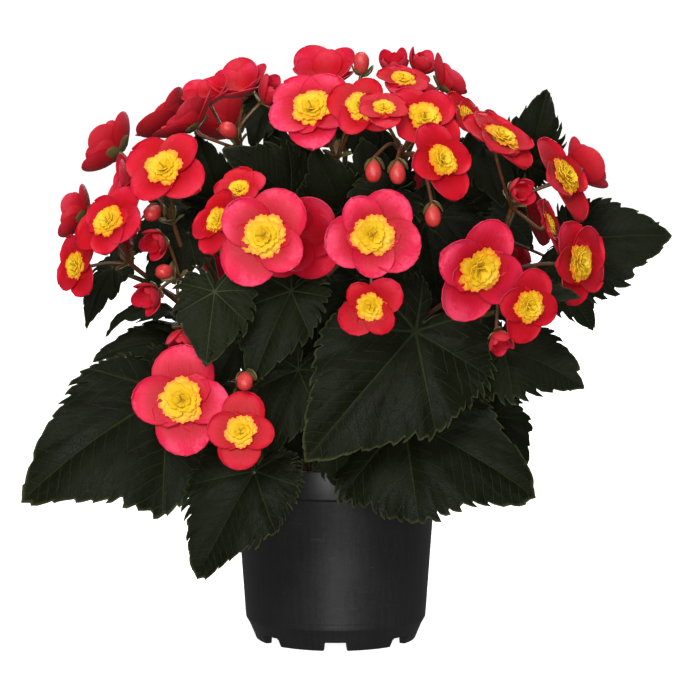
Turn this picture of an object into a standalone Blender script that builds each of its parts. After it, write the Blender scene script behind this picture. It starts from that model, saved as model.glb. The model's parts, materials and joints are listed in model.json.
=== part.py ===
"""Potted begonia: a thin nursery pot of soil, leafy stems that rise from it, and sprays of double
blooms with frilled yellow centres. Metres, +Z up, -Y to the front. The origin is the centre of
the pot's base."""

import math
import random
from collections import namedtuple

import bmesh
import bpy
from mathutils import Matrix, Vector
from mathutils.geometry import delaunay_2d_cdt

# Clearance between pieces that rest on or in each other
SEAT_GAP = 0.0003

# Pot
POT_HEIGHT = 0.115
RIM_RADIUS = 0.065
RIM_DEPTH = 0.0185
WALL_TOP_RADIUS = 0.063
WALL_FOOT_RADIUS = 0.057
WALL_FOOT_HEIGHT = 0.014
CHAMFER_RADIUS = 0.0545
CHAMFER_HEIGHT = 0.0096
FOOT_OUTER_RADIUS = 0.0505
FOOT_INNER_RADIUS = 0.0465
FLOOR_UNDERSIDE = 0.0065
FLOOR_THICKNESS = 0.0015
BOSS_RADIUS = 0.012
POT_WALL = 0.0016
POT_FACETS = 28
NOTCH_COUNT = 7
NOTCH_HEIGHT = 0.0057
NOTCH_WIDTH = 0.017

# Soil, and the stems that stand in it
SOIL_TOP = 0.104
SOIL_CROWN = 0.0025
STEM_DEPTH = 0.018
STEM_FOOT_RADIUS = 0.0042
STEM_TOP_RADIUS = 0.0026
STEM_STEPS = 5

# Leaves: a leaf's other sizes are shares of its length
LEAF_THICKNESS = 0.0008
LEAF_LOBE = 0.40
LEAF_POINT = 0.60
LEAF_POINT_SPREAD = math.radians(36)
LEAF_NATURAL_WIDTH = 0.92
LEAF_FOLD = 0.10
LEAF_DROOP = 0.13
LEAF_WAVE = 0.022
LARGE_LEAF = 0.07
LEAF_POINTS = 12
LARGE_LEAF_POINTS = 18
MIDRIB_KNOTS = (0.32, 0.66)
LOBE_KNOTS = (-110, -50, 50, 110)
LOBE_KNOT_REACH = 0.55
TOOTH_DEPTH = 0.055
PETIOLE_ROOT_RADIUS = 0.0019
PETIOLE_TIP_RADIUS = 0.0013

# Blooms: a bloom's other sizes are shares of its radius
PETAL_THICKNESS = 0.0007
PETAL_CUP = 0.20
PETAL_LEAN = 58
OUTER_NOTCH = 0.32
OUTER_DROP = 0.09
INNER_SHARE = 0.64
INNER_NOTCH = 0.36
PEDUNCLE_RADIUS = 0.0018
PEDICEL_RADIUS = 0.0011
RECEPTACLE_RADIUS = 0.09
CENTRE_LOBES = 4
CENTRE_FOOT = 0.085
CENTRE_RIM = ((0.46, 0.24), (0.39, 0.28))
CENTRE_TOP = ((0.24, 0.33), (0.26, 0.24))
CENTRE_TIP = 0.25
BUD_LENGTH = 0.0125
BUD_RADIUS = 0.0040
LARGE_BLOOM = 0.0525
OPEN_ENOUGH = 0.65

# Petals of a whorl: how many, and half of one's width, which keeps it clear of its neighbours
LARGE_WHORL = (5, 0.375)
SMALL_WHORL = (4, 0.50)
INNER_WHORL = (3, 0.55)

Stem = namedtuple("Stem", "foot top")
Leaf = namedtuple("Leaf", "stem root junction tip width turn tilt skew arch")
Bloom = namedtuple("Bloom", "place width turn tilt opening")
Bud = namedtuple("Bud", "place turn tilt")
Spray = namedtuple("Spray", "stem root hub blooms buds inner_petals", defaults=[True])

# A turn is a bearing from the front, -Y, towards +X, and a tilt is the height above level, both
# in degrees: they say which way a leaf's upper side or a bloom's face looks.
STEMS = {
    "left": Stem((-0.021, -0.006), (-0.070, -0.042, 0.200)),
    "front": Stem((-0.006, -0.024), (-0.026, -0.082, 0.205)),
    "front_right": Stem((0.017, -0.015), (0.048, -0.070, 0.205)),
    "right": Stem((0.023, 0.008), (0.078, -0.022, 0.205)),
    "top": Stem((0.000, 0.001), (0.004, -0.020, 0.262)),
    "back_left": Stem((-0.013, 0.020), (-0.052, 0.056, 0.205)),
    "back_right": Stem((0.009, 0.025), (0.046, 0.064, 0.205)),
}

LEAVES = [
    Leaf("left", 0.40, (-0.100, -0.083, 0.166), (-0.190, -0.105, 0.102), 0.108, -20, 20, 0.35, 0.10),
    Leaf("left", 0.60, (-0.090, -0.045, 0.190), (-0.149, -0.060, 0.181), 0.045, -20, 50, -0.1, 0.14),
    Leaf("left", 0.68, (-0.102, -0.035, 0.211), (-0.142, -0.045, 0.196), 0.022, -30, 60, 0.10, 0.20),
    Leaf("left", 0.71, (-0.138, -0.030, 0.238), (-0.154, -0.040, 0.201), 0.024, -30, 10, 0.10, 0.10),
    Leaf("left", 0.50, (-0.085, 0.005, 0.160), (-0.158, 0.015, 0.115), 0.074, -80, 40, -0.15, 0.14),
    Leaf("front", 0.35, (-0.048, -0.130, 0.125), (-0.083, -0.137, 0.061), 0.066, -15, 15, -0.08, 0.05),
    Leaf("front", 0.72, (-0.026, -0.128, 0.233), (-0.050, -0.142, 0.177), 0.050, -10, 15, -0.1, 0.08),
    Leaf("front", 0.84, (-0.071, -0.150, 0.235), (-0.076, -0.158, 0.191), 0.047, 0, 10, 0.06, 0.05),
    Leaf("front", 0.62, (-0.022, -0.110, 0.184), (-0.042, -0.122, 0.130), 0.046, -10, 20, 0.10, 0.08),
    Leaf("front_right", 0.80, (0.048, -0.120, 0.208), (-0.018, -0.138, 0.132), 0.098, 5, 20, 0.12, 0.08),
    Leaf("front_right", 0.50, (0.042, -0.095, 0.150), (0.121, -0.112, 0.106), 0.092, 15, 18, -0.35, 0.12),
    Leaf("front_right", 0.40, (0.000, -0.095, 0.134), (0.002, -0.098, 0.110), 0.034, 0, 10, 0.10, 0.05),
    Leaf("front_right", 0.66, (0.102, -0.100, 0.195), (0.150, -0.115, 0.174), 0.058, 20, 25, -0.25, 0.10),
    Leaf("right", 0.70, (0.147, -0.025, 0.255), (0.209, -0.030, 0.258), 0.066, 20, 20, -0.30, 0.06),
    Leaf("right", 0.56, (0.139, -0.035, 0.228), (0.159, -0.045, 0.200), 0.032, 20, 20, 0.10, 0.06),
    Leaf("right", 0.93, (0.120, -0.020, 0.302), (0.131, -0.025, 0.349), 0.042, 5, 10, 0.08, 0.05),
    Leaf("right", 0.45, (0.080, 0.010, 0.150), (0.118, 0.022, 0.118), 0.056, 80, 40, 0.12, 0.12),
    Leaf("top", 0.60, (0.004, -0.058, 0.277), (-0.013, -0.074, 0.317), 0.044, -10, 20, 0.10, 0.08),
    Leaf("top", 0.50, (-0.028, -0.060, 0.284), (-0.068, -0.078, 0.315), 0.054, -10, 30, -0.1, 0.08),
    Leaf("top", 0.40, (0.033, -0.090, 0.288), (0.006, -0.105, 0.263), 0.042, 0, 30, 0.10, 0.08),
    Leaf("back_left", 0.55, (-0.066, 0.060, 0.170), (-0.118, 0.100, 0.124), 0.074, -130, 40, 0.15, 0.14),
    Leaf("back_left", 0.35, (-0.037, 0.088, 0.150), (-0.057, 0.149, 0.096), 0.068, -165, 35, -0.1, 0.12),
    Leaf("back_right", 0.35, (0.038, 0.090, 0.150), (0.058, 0.151, 0.098), 0.066, 165, 35, 0.12, 0.12),
    Leaf("back_right", 0.55, (0.072, 0.062, 0.170), (0.116, 0.096, 0.126), 0.070, 130, 40, -0.12, 0.14),
    Leaf("back_left", 0.76, (-0.030, 0.100, 0.215), (-0.046, 0.150, 0.190), 0.050, -165, 50, 0.10, 0.12),
    Leaf("back_right", 0.76, (0.036, 0.104, 0.215), (0.058, 0.152, 0.190), 0.050, 165, 50, -0.1, 0.12),
    Leaf("left", 0.96, (-0.088, -0.008, 0.272), (-0.126, -0.020, 0.244), 0.050, -30, 40, 0.10, 0.12),
    Leaf("right", 0.62, (0.092, 0.004, 0.272), (0.124, -0.004, 0.246), 0.048, 30, 40, -0.1, 0.12),
    Leaf("front_right", 0.92, (0.112, -0.125, 0.226), (0.146, -0.135, 0.230), 0.026, 50, 25, 0.1, 0.1),
    Leaf("left", 0.50, (-0.070, -0.013, 0.278), (-0.086, -0.019, 0.321), 0.046, -20, 20, 0.1, 0.1),
    Leaf("right", 0.87, (0.079, -0.021, 0.276), (0.085, -0.028, 0.324), 0.042, 15, 15, 0.1, 0.1),
    Leaf("front_right", 0.75, (0.063, -0.051, 0.223), (0.055, -0.059, 0.268), 0.046, 5, 10, 0.1, 0.1),
    Leaf("top", 0.39, (0.025, -0.048, 0.285), (0.016, -0.053, 0.321), 0.042, 0, 15, 0.1, 0.1),
    Leaf("top", 0.74, (-0.023, -0.011, 0.287), (-0.041, -0.016, 0.329), 0.044, -15, 15, 0.1, 0.1),
    Leaf("front", 0.64, (0.013, -0.080, 0.237), (-0.009, -0.090, 0.191), 0.042, 0, 15, 0.1, 0.1),
    Leaf("top", 0.69, (0.032, -0.021, 0.284), (0.027, -0.027, 0.328), 0.042, 5, 15, 0.1, 0.1),
    Leaf("top", 0.48, (0.045, -0.029, 0.253), (0.059, -0.034, 0.293), 0.038, 10, 15, 0.1, 0.1),
]

SPRAYS = {
    "top_front": Spray("top", 1.0, (0.001, -0.046, 0.306), [
        Bloom((-0.014, -0.070, 0.337), 0.056, -8, 38, 1.0),
        Bloom((0.016, -0.085, 0.340), 0.044, -5, 25, 1.0),
        Bloom((-0.006, -0.027, 0.354), 0.044, -10, 60, 0.6),
    ], [
        Bud((0.016, -0.045, 0.360), 0, 80),
    ]),
    "top_right": Spray("top", 0.90, (0.040, -0.080, 0.312), [
        Bloom((0.029, -0.105, 0.339), 0.034, 10, 55, 1.0),
        Bloom((0.053, -0.095, 0.333), 0.048, 18, 32, 1.0),
        Bloom((0.062, -0.128, 0.310), 0.047, 35, 25, 1.0),
    ], [
        Bud((0.023, -0.112, 0.310), 0, -80),
        Bud((0.037, -0.114, 0.309), 20, -80),
        Bud((0.058, -0.122, 0.284), 20, -80),
    ]),
    "top_rear": Spray("top", 0.95, (0.050, -0.038, 0.322), [
        Bloom((0.041, -0.060, 0.354), 0.036, 20, 60, 1.0),
        Bloom((0.078, -0.068, 0.333), 0.036, 60, 30, 1.0),
        Bloom((0.038, -0.016, 0.358), 0.028, -20, 60, 0.4),
        Bloom((0.051, -0.009, 0.358), 0.028, 60, 60, 0.4),
        Bloom((0.065, -0.023, 0.350), 0.036, 100, 35, 0.5),
    ], []),
    "top_left": Spray("top", 0.80, (-0.058, -0.042, 0.312), [
        Bloom((-0.086, -0.053, 0.326), 0.044, -100, 50, 0.6),
        Bloom((-0.078, -0.026, 0.341), 0.034, -35, 60, 0.62),
        Bloom((-0.058, -0.017, 0.346), 0.042, -30, 60, 0.5),
        Bloom((-0.045, -0.044, 0.342), 0.032, 70, 40, 0.35),
    ], [
        Bud((-0.062, -0.052, 0.322), -40, 30),
    ]),
    "right_upper": Spray("right", 1.0, (0.108, -0.062, 0.278), [
        Bloom((0.099, -0.087, 0.320), 0.050, 50, 52, 1.0),
        Bloom((0.137, -0.070, 0.296), 0.055, 60, 29, 1.0),
        Bloom((0.148, -0.033, 0.297), 0.040, 120, 30, 0.6),
        Bloom((0.127, -0.090, 0.269), 0.036, 75, 20, 0.9),
        Bloom((0.108, -0.106, 0.292), 0.024, 30, 0, 0.2),
    ], []),
    "right_lower": Spray("front_right", 1.0, (0.092, -0.100, 0.238), [
        Bloom((0.145, -0.092, 0.247), 0.052, 50, 6, 1.0),
        Bloom((0.084, -0.147, 0.249), 0.062, 22, -10, 1.0),
        Bloom((0.113, -0.158, 0.228), 0.044, 26, -5, 1.0),
        Bloom((0.097, -0.132, 0.209), 0.024, 20, -50, 0.2),
    ], []),
    "centre": Spray("front", 1.0, (0.012, -0.110, 0.258), [
        Bloom((0.022, -0.155, 0.269), 0.057, 10, 5, 1.0),
        Bloom((0.021, -0.162, 0.228), 0.040, 0, -8, 1.0),
    ], []),
    "left_centre": Spray("front", 0.92, (-0.044, -0.104, 0.256), [
        Bloom((-0.041, -0.152, 0.268), 0.060, -8, 8, 1.0),
        Bloom((-0.025, -0.115, 0.266), 0.056, 5, 0, 0.62),
        Bloom((-0.068, -0.129, 0.274), 0.041, -50, 28, 1.0),
        Bloom((-0.057, -0.108, 0.291), 0.034, -20, 45, 0.9),
    ], []),
    "left": Spray("left", 1.0, (-0.098, -0.076, 0.268), [
        Bloom((-0.101, -0.112, 0.304), 0.054, -18, 32, 1.0),
        Bloom((-0.123, -0.081, 0.293), 0.036, -80, 12, 0.6),
        Bloom((-0.133, -0.048, 0.311), 0.042, -120, 30, 0.6),
    ], [
        Bud((-0.107, -0.095, 0.280), -30, -20),
    ]),
    "far_left": Spray("left", 0.92, (-0.124, -0.074, 0.244), [
        Bloom((-0.134, -0.112, 0.272), 0.048, -38, 30, 1.0),
        Bloom((-0.155, -0.082, 0.244), 0.042, -50, 8, 1.0),
        Bloom((-0.153, -0.057, 0.273), 0.034, -115, 15, 0.6),
    ], []),
    "left_buds": Spray("left", 0.84, (-0.094, -0.088, 0.236), [
        Bloom((-0.105, -0.101, 0.263), 0.026, -30, -20, 0.3),
        Bloom((-0.108, -0.097, 0.230), 0.028, -40, -20, 0.3),
        Bloom((-0.092, -0.118, 0.209), 0.024, -10, -60, 0.25),
    ], [
        Bud((-0.100, -0.112, 0.244), -20, 0),
    ]),
    "lower_left": Spray("front", 0.50, (-0.058, -0.120, 0.166), [
        Bloom((-0.090, -0.142, 0.169), 0.064, -8, 12, 1.0),
        Bloom((-0.055, -0.158, 0.153), 0.044, -5, 12, 1.0),
    ], [
        Bud((-0.053, -0.152, 0.186), 0, -30),
    ]),
}

# Each rear spray is three blooms round its bearing: one low, one above it, one high and near
REAR_STEMS = {105: "right", 143: "back_right", 181: "back_right", 219: "back_left", 257: "left"}
REAR_ROOT = 0.82
REAR_LOW_REACH = 0.146
REAR_LOW_HEIGHT = 0.238
REAR_MIDDLE_REACH = 0.138
REAR_MIDDLE_HEIGHT = 0.274
REAR_HIGH_REACH = 0.104
REAR_HIGH_HEIGHT = 0.318
REAR_HUB_REACH = 0.098
REAR_HUB_HEIGHT = 0.250
REAR_SPREAD = 10
REAR_BLOOM = 0.049
REAR_SEED = 7


def clear_scene():
    for leftover in list(bpy.data.objects):
        bpy.data.objects.remove(leftover, do_unlink=True)


def new_collection(name):
    collection = bpy.data.collections.new(name)
    bpy.context.scene.collection.children.link(collection)
    return collection


def new_material(name, colour, roughness, metallic=0.0):
    material = bpy.data.materials.new(name)
    material.use_nodes = True
    shader = material.node_tree.nodes["Principled BSDF"]
    shader.inputs["Base Color"].default_value = (*colour, 1.0)
    shader.inputs["Roughness"].default_value = roughness
    shader.inputs["Metallic"].default_value = metallic
    return material


def mesh_object(name, bm, collection):
    mesh = bpy.data.meshes.new(name)
    bm.to_mesh(mesh)
    bm.free()
    piece = bpy.data.objects.new(name, mesh)
    collection.objects.link(piece)
    return piece


def finish(piece, colour, roughness, sharp_angle=40):
    piece.data.materials.clear()
    piece.data.materials.append(new_material(piece.name + "_finish", colour, roughness))
    piece.data.shade_smooth()
    piece.data.set_sharp_from_angle(angle=math.radians(sharp_angle))


def settle_modifiers(piece):
    """Replaces the piece's mesh by what its modifiers make of it."""
    graph = bpy.context.evaluated_depsgraph_get()
    settled = bpy.data.meshes.new_from_object(piece.evaluated_get(graph))
    settled.name = piece.name
    piece.modifiers.clear()
    piece.data = settled


def join_solids(base, others):
    """One Boolean union of the base with every other solid, which it then replaces."""
    group = new_collection(base.name + "_parts")
    for other in others:
        for holder in list(other.users_collection):
            holder.objects.unlink(other)
        group.objects.link(other)
    union = base.modifiers.new("Union", "BOOLEAN")
    union.operation = "UNION"
    union.solver = "MANIFOLD"
    union.operand_type = "COLLECTION"
    union.collection = group
    bpy.context.view_layer.update()
    settle_modifiers(base)
    for other in others:
        bpy.data.objects.remove(other, do_unlink=True)
    bpy.data.collections.remove(group)


def turned(name, profile, facets, collection):
    """A solid of revolution about Z from a profile of (radius, height) points."""
    bm = bmesh.new()
    points = [bm.verts.new((radius, 0.0, height)) for radius, height in profile]
    for start, end in zip(points, points[1:]):
        bm.edges.new((start, end))
    piece = mesh_object(name, bm, collection)
    screw = piece.modifiers.new("Turn", "SCREW")
    screw.steps = facets
    screw.render_steps = facets
    screw.use_merge_vertices = True
    screw.merge_threshold = 0.00002
    return piece


def tube(name, points, radii, collection, bevel_resolution=0):
    """A stalk along the points, with a radius at each and flat closed ends."""
    curve = bpy.data.curves.new(name, "CURVE")
    curve.dimensions = "3D"
    curve.bevel_depth = 1.0
    curve.bevel_resolution = bevel_resolution
    curve.use_fill_caps = True
    spline = curve.splines.new("POLY")
    spline.points.add(len(points) - 1)
    for point, place, radius in zip(spline.points, points, radii):
        point.co = (*place, 1.0)
        point.radius = radius
    guide = bpy.data.objects.new(name, curve)
    collection.objects.link(guide)
    graph = bpy.context.evaluated_depsgraph_get()
    mesh = bpy.data.meshes.new_from_object(guide.evaluated_get(graph))
    bpy.data.objects.remove(guide, do_unlink=True)
    bpy.data.curves.remove(curve)
    bm = bmesh.new()
    bm.from_mesh(mesh)
    bpy.data.meshes.remove(mesh)
    bmesh.ops.remove_doubles(bm, verts=bm.verts, dist=0.00001)
    bmesh.ops.recalc_face_normals(bm, faces=bm.faces)
    return mesh_object(name, bm, collection)


def taper(start_radius, end_radius, count):
    """Radii that change evenly along a stalk of so many points."""
    return [start_radius + (end_radius - start_radius) * i / (count - 1) for i in range(count)]


def bezier(start, start_pull, end_pull, end, steps):
    points = []
    for index in range(steps + 1):
        t = index / steps
        points.append(
            start * (1 - t) ** 3
            + start_pull * 3 * t * (1 - t) ** 2
            + end_pull * 3 * t ** 2 * (1 - t)
            + end * t ** 3
        )
    return points


def direction(turn, tilt):
    turn = math.radians(turn)
    tilt = math.radians(tilt)
    level = math.cos(tilt)
    return Vector((math.sin(turn) * level, -math.cos(turn) * level, math.sin(tilt)))


def frame(origin, along, facing):
    """Axes at the origin: X along, Z as near as it can be to the facing."""
    x_axis = along.normalized()
    z_axis = (facing - x_axis * facing.dot(x_axis)).normalized()
    y_axis = z_axis.cross(x_axis)
    axes = Matrix((x_axis, y_axis, z_axis)).transposed().to_4x4()
    return Matrix.Translation(origin) @ axes


def blade(name, outline, inner, surface, thickness, collection):
    """A thin solid over a flat outline, bent by surface(x, y), with both faces split alike."""
    flat = [Vector(point) for point in outline + inner]
    loop = list(range(len(outline)))
    flat, _, triangles = delaunay_2d_cdt(flat, [], [loop], 1, 1e-7)[:3]
    bm = bmesh.new()
    middle = [bm.verts.new(surface(point.x, point.y)) for point in flat]
    for triangle in triangles:
        bm.faces.new([middle[corner] for corner in triangle])
    bm.normal_update()
    for vertex in middle:
        vertex.co += vertex.normal * thickness / 2
    bmesh.ops.solidify(bm, geom=bm.faces[:], thickness=thickness)
    rim = [face for face in bm.faces if len(face.verts) == 4]
    bmesh.ops.triangulate(bm, faces=rim)
    bmesh.ops.recalc_face_normals(bm, faces=bm.faces)
    return mesh_object(name, bm, collection)


def make_pot(collection, cutters):
    floor_top = FLOOR_UNDERSIDE + FLOOR_THICKNESS
    band_foot = POT_HEIGHT - RIM_DEPTH
    profile = [
        (RIM_RADIUS, POT_HEIGHT),
        (RIM_RADIUS, band_foot + 0.0007),
        (WALL_TOP_RADIUS, band_foot),
        (WALL_FOOT_RADIUS, WALL_FOOT_HEIGHT),
        (CHAMFER_RADIUS, CHAMFER_HEIGHT),
        (FOOT_OUTER_RADIUS, 0.0),
        (FOOT_INNER_RADIUS, 0.0),
        (FOOT_INNER_RADIUS, FLOOR_UNDERSIDE),
        (BOSS_RADIUS, FLOOR_UNDERSIDE),
        (BOSS_RADIUS, 0.0),
        (0.0, 0.0),
    ]
    inside = [
        (0.0, floor_top),
        (pot_inner_radius(floor_top), floor_top),
        (pot_inner_radius(WALL_FOOT_HEIGHT), WALL_FOOT_HEIGHT),
        (pot_inner_radius(band_foot), band_foot),
        (RIM_RADIUS - POT_WALL, band_foot + 0.0012),
        (RIM_RADIUS - POT_WALL, POT_HEIGHT),
        (RIM_RADIUS, POT_HEIGHT),
    ]
    pot = turned("pot", profile + inside, POT_FACETS, collection)
    for index in range(NOTCH_COUNT):
        cut_notch(pot, index, cutters)
    finish(pot, (0.018, 0.018, 0.019), 0.42)
    return pot


def pot_inner_radius(height):
    """Radius of the pot's inner wall below the rim band."""
    if height <= WALL_FOOT_HEIGHT:
        share = (height - CHAMFER_HEIGHT) / (WALL_FOOT_HEIGHT - CHAMFER_HEIGHT)
        outer = CHAMFER_RADIUS + (WALL_FOOT_RADIUS - CHAMFER_RADIUS) * share
    else:
        share = (height - WALL_FOOT_HEIGHT) / (POT_HEIGHT - RIM_DEPTH - WALL_FOOT_HEIGHT)
        outer = WALL_FOOT_RADIUS + (WALL_TOP_RADIUS - WALL_FOOT_RADIUS) * share
    return outer - POT_WALL


def cut_notch(pot, index, cutters):
    """A drain notch across the foot ring, wider at the outside."""
    turn = 2 * math.pi * index / NOTCH_COUNT
    bm = bmesh.new()
    bmesh.ops.create_cube(bm, size=1.0)
    for corner in bm.verts:
        outer = corner.co.y < 0
        raised = corner.co.z > 0
        width = NOTCH_WIDTH * (1.3 if outer else 0.8) * (0.85 if raised else 1.0)
        corner.co.x = math.copysign(width / 2, corner.co.x)
        corner.co.y = -(WALL_FOOT_RADIUS + 0.004) if outer else -(FOOT_INNER_RADIUS - 0.003)
        corner.co.z = NOTCH_HEIGHT if raised else -0.003
    cutter = mesh_object(f"notch_cutter_{index + 1}", bm, cutters)
    cutter.rotation_euler.z = turn
    cutter.hide_render = True
    cutter.display_type = "WIRE"
    cut = pot.modifiers.new(f"Notch {index + 1}", "BOOLEAN")
    cut.operation = "DIFFERENCE"
    cut.object = cutter


def make_soil(collection, cutters):
    band_foot = POT_HEIGHT - RIM_DEPTH
    base = FLOOR_UNDERSIDE + FLOOR_THICKNESS + SEAT_GAP
    edge = RIM_RADIUS - POT_WALL - SEAT_GAP
    profile = [
        (0.0, SOIL_TOP + SOIL_CROWN),
        (edge * 0.7, SOIL_TOP + SOIL_CROWN * 0.5),
        (edge, SOIL_TOP - 0.0015),
        (edge, band_foot + 0.0012),
        (pot_inner_radius(band_foot) - SEAT_GAP, band_foot),
        (pot_inner_radius(WALL_FOOT_HEIGHT) - SEAT_GAP, WALL_FOOT_HEIGHT),
        (pot_inner_radius(base) - SEAT_GAP, base),
        (0.0, base),
    ]
    soil = turned("soil", profile, POT_FACETS, collection)
    for name, stem in STEMS.items():
        hole = tube(
            f"stem_hole_{name}",
            [Vector((*stem.foot, SOIL_TOP + 0.02)), stem_foot(stem) - Vector((0, 0, SEAT_GAP))],
            [STEM_FOOT_RADIUS + SEAT_GAP] * 2,
            cutters,
            bevel_resolution=1,
        )
        hole.hide_render = True
        hole.display_type = "WIRE"
        cut = soil.modifiers.new(f"Hole {name}", "BOOLEAN")
        cut.operation = "DIFFERENCE"
        cut.object = hole
    finish(soil, (0.045, 0.030, 0.020), 0.95)
    return soil


def stem_foot(stem):
    return Vector((*stem.foot, SOIL_TOP - STEM_DEPTH))


def stem_path(stem):
    """Points up the stem: upright out of its hole, then a bend out to its top."""
    collar = Vector((*stem.foot, SOIL_TOP + 0.006))
    top = Vector(stem.top)
    rise = Vector((0, 0, (top.z - collar.z) * 0.55))
    bend = bezier(collar, collar + rise, top - (top - collar - rise) * 0.45, top, STEM_STEPS)
    return [stem_foot(stem)] + bend


def on_stem(stem, share):
    """Place, direction and radius at a share of the way up the stem above the soil."""
    path = stem_path(stem)
    position = share * STEM_STEPS + 1
    index = min(int(position), STEM_STEPS)
    along = path[index + 1] - path[index]
    place = path[index] + along * (position - index)
    taper = position / (STEM_STEPS + 1)
    radius = STEM_FOOT_RADIUS + (STEM_TOP_RADIUS - STEM_FOOT_RADIUS) * taper
    return place, along.normalized(), radius


def leaf_radius(angle, skew):
    """Reach of the leaf's edge from its junction, as a share of its length, before its teeth."""
    side = 1.0 + skew * math.sin(angle)
    lobe = LEAF_LOBE * side * (1.0 - 0.85 * (abs(angle) / math.pi) ** 8)
    return lobe + LEAF_POINT * math.exp(-abs(angle) / LEAF_POINT_SPREAD)


def leaf_outline(length, width, skew, points):
    outline = []
    stretch = width / (LEAF_NATURAL_WIDTH * length)
    for index in range(points):
        angle = math.pi * (2 * index / points - 1)
        tooth = 1 + TOOTH_DEPTH if index % 2 == 0 else 1 - TOOTH_DEPTH
        if index == points // 2:
            tooth = 1.0
        reach = length * leaf_radius(angle, skew) * tooth
        outline.append((reach * math.cos(angle), reach * math.sin(angle) * stretch))
    return outline


def leaf_surface(length, width, arch, phase):
    """Height of the leaf over its chord: an arched midrib, raised halves and a waved edge."""

    def surface(x, y):
        along = x / length
        across = 2 * y / width
        angle = math.atan2(y, x)
        bow = 4 * arch * along * (1 - along)
        halves = LEAF_FOLD * abs(across) - LEAF_DROOP * across ** 2
        outward = min(1.0, math.hypot(along, across) / 0.6)
        waves = LEAF_WAVE * math.sin(5 * angle + phase) * outward ** 2
        return Vector((x, y, length * (bow + halves + waves)))

    return surface


def make_leaf(index, leaf, collection):
    """The leaf's blade and its stalk, which starts inside the stem."""
    junction = Vector(leaf.junction)
    chord = Vector(leaf.tip) - junction
    length = chord.length
    placing = frame(junction, chord, direction(leaf.turn, leaf.tilt))
    large = length > LARGE_LEAF
    points = LARGE_LEAF_POINTS if large else LEAF_POINTS
    outline = leaf_outline(length, leaf.width, leaf.skew, points)
    inner = [(share * length, 0.0) for share in MIDRIB_KNOTS]
    if large:
        for angle in LOBE_KNOTS:
            angle = math.radians(angle)
            reach = LOBE_KNOT_REACH * length * leaf_radius(angle, leaf.skew)
            stretch = leaf.width / (LEAF_NATURAL_WIDTH * length)
            inner.append((reach * math.cos(angle), reach * math.sin(angle) * stretch))
    surface = leaf_surface(length, leaf.width, leaf.arch, index)
    leaf_blade = blade(f"leaf_{index}", outline, inner, surface, LEAF_THICKNESS, collection)
    leaf_blade.data.transform(placing)
    root, _, _ = on_stem(STEMS[leaf.stem], leaf.root)
    facing = placing.to_3x3() @ Vector((0, 0, 1))
    collar = junction - facing * 0.004
    reach = (collar - root).length
    outward = Vector((junction.x - root.x, junction.y - root.y, 0.25 * reach)).normalized()
    path = bezier(
        root,
        root + outward * reach * 0.35 + Vector((0, 0, reach * 0.15)),
        collar - facing * reach * 0.22 - chord.normalized() * reach * 0.12,
        collar,
        2,
    )
    path.append(junction)
    radii = taper(PETIOLE_ROOT_RADIUS, PETIOLE_TIP_RADIUS, len(path))
    stalk = tube(f"leaf_stalk_{index}", path, radii, collection)
    return [leaf_blade, stalk]


def make_leafy_stem(name, stem, collection):
    path = stem_path(stem)
    radii = taper(STEM_FOOT_RADIUS, STEM_TOP_RADIUS, len(path))
    trunk = tube(f"leafy_stem_{name}", path, radii, collection, bevel_resolution=1)
    parts = []
    for index, leaf in enumerate(LEAVES):
        if leaf.stem == name:
            parts += make_leaf(index, leaf, collection)
    join_solids(trunk, parts)
    finish(trunk, (0.016, 0.026, 0.009), 0.55)
    return trunk


def whorl_outline(count, half_width, notch):
    """Rounded petals side by side, cut apart down to the notch, as shares of the bloom's radius."""
    outline = []
    for index in range(count):
        angle = 2 * math.pi * index / count
        size = 1.0 if index % 2 == 0 else 0.92
        petal = [(0.60, -half_width), (0.96, -0.30), (0.96, 0.30), (0.60, half_width)]
        turn = Matrix.Rotation(angle, 2)
        outline += [tuple(turn @ Vector(point) * size) for point in petal]
        valley = angle + math.pi / count
        outline.append((notch * math.cos(valley), notch * math.sin(valley)))
    return outline


def whorl_surface(radius, count, notch, opening, seat):
    """Bends a flat whorl: its hub is flat at the seat's height, and each petal leaves the hub
    steeply, opens out to its tip and is cupped."""
    start = math.radians(PETAL_LEAN)
    bend = math.radians(20 + 70 * opening) - start

    def rise(along, across):
        lean = start + bend * along
        return (math.sin(lean) - math.sin(start)) / bend + PETAL_CUP * across ** 2

    half_turn = math.pi / count
    hub_rise = rise(notch * math.cos(half_turn), notch * math.sin(half_turn))

    def surface(x, y):
        angle = 2 * math.pi * round(math.atan2(y, x) / (2 * math.pi) * count) / count
        along, across = Matrix.Rotation(-angle, 2) @ Vector((x, y))
        out = (math.cos(start) - math.cos(start + bend * along)) / bend
        narrowed = across * (0.55 + 0.45 * opening)
        height = (rise(along, across) - hub_rise) * radius + seat
        return Matrix.Rotation(angle, 3, "Z") @ Vector((out * radius, narrowed * radius, height))

    return surface


def make_whorl(name, radius, petals, notch, opening, seat, collection):
    """A whorl of petals round the bloom's axis, as one thin arched blade."""
    count, half_width = petals
    outline = whorl_outline(count, half_width, notch)
    surface = whorl_surface(radius, count, notch, opening, seat)
    return blade(name, outline, [], surface, PETAL_THICKNESS, collection)


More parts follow.
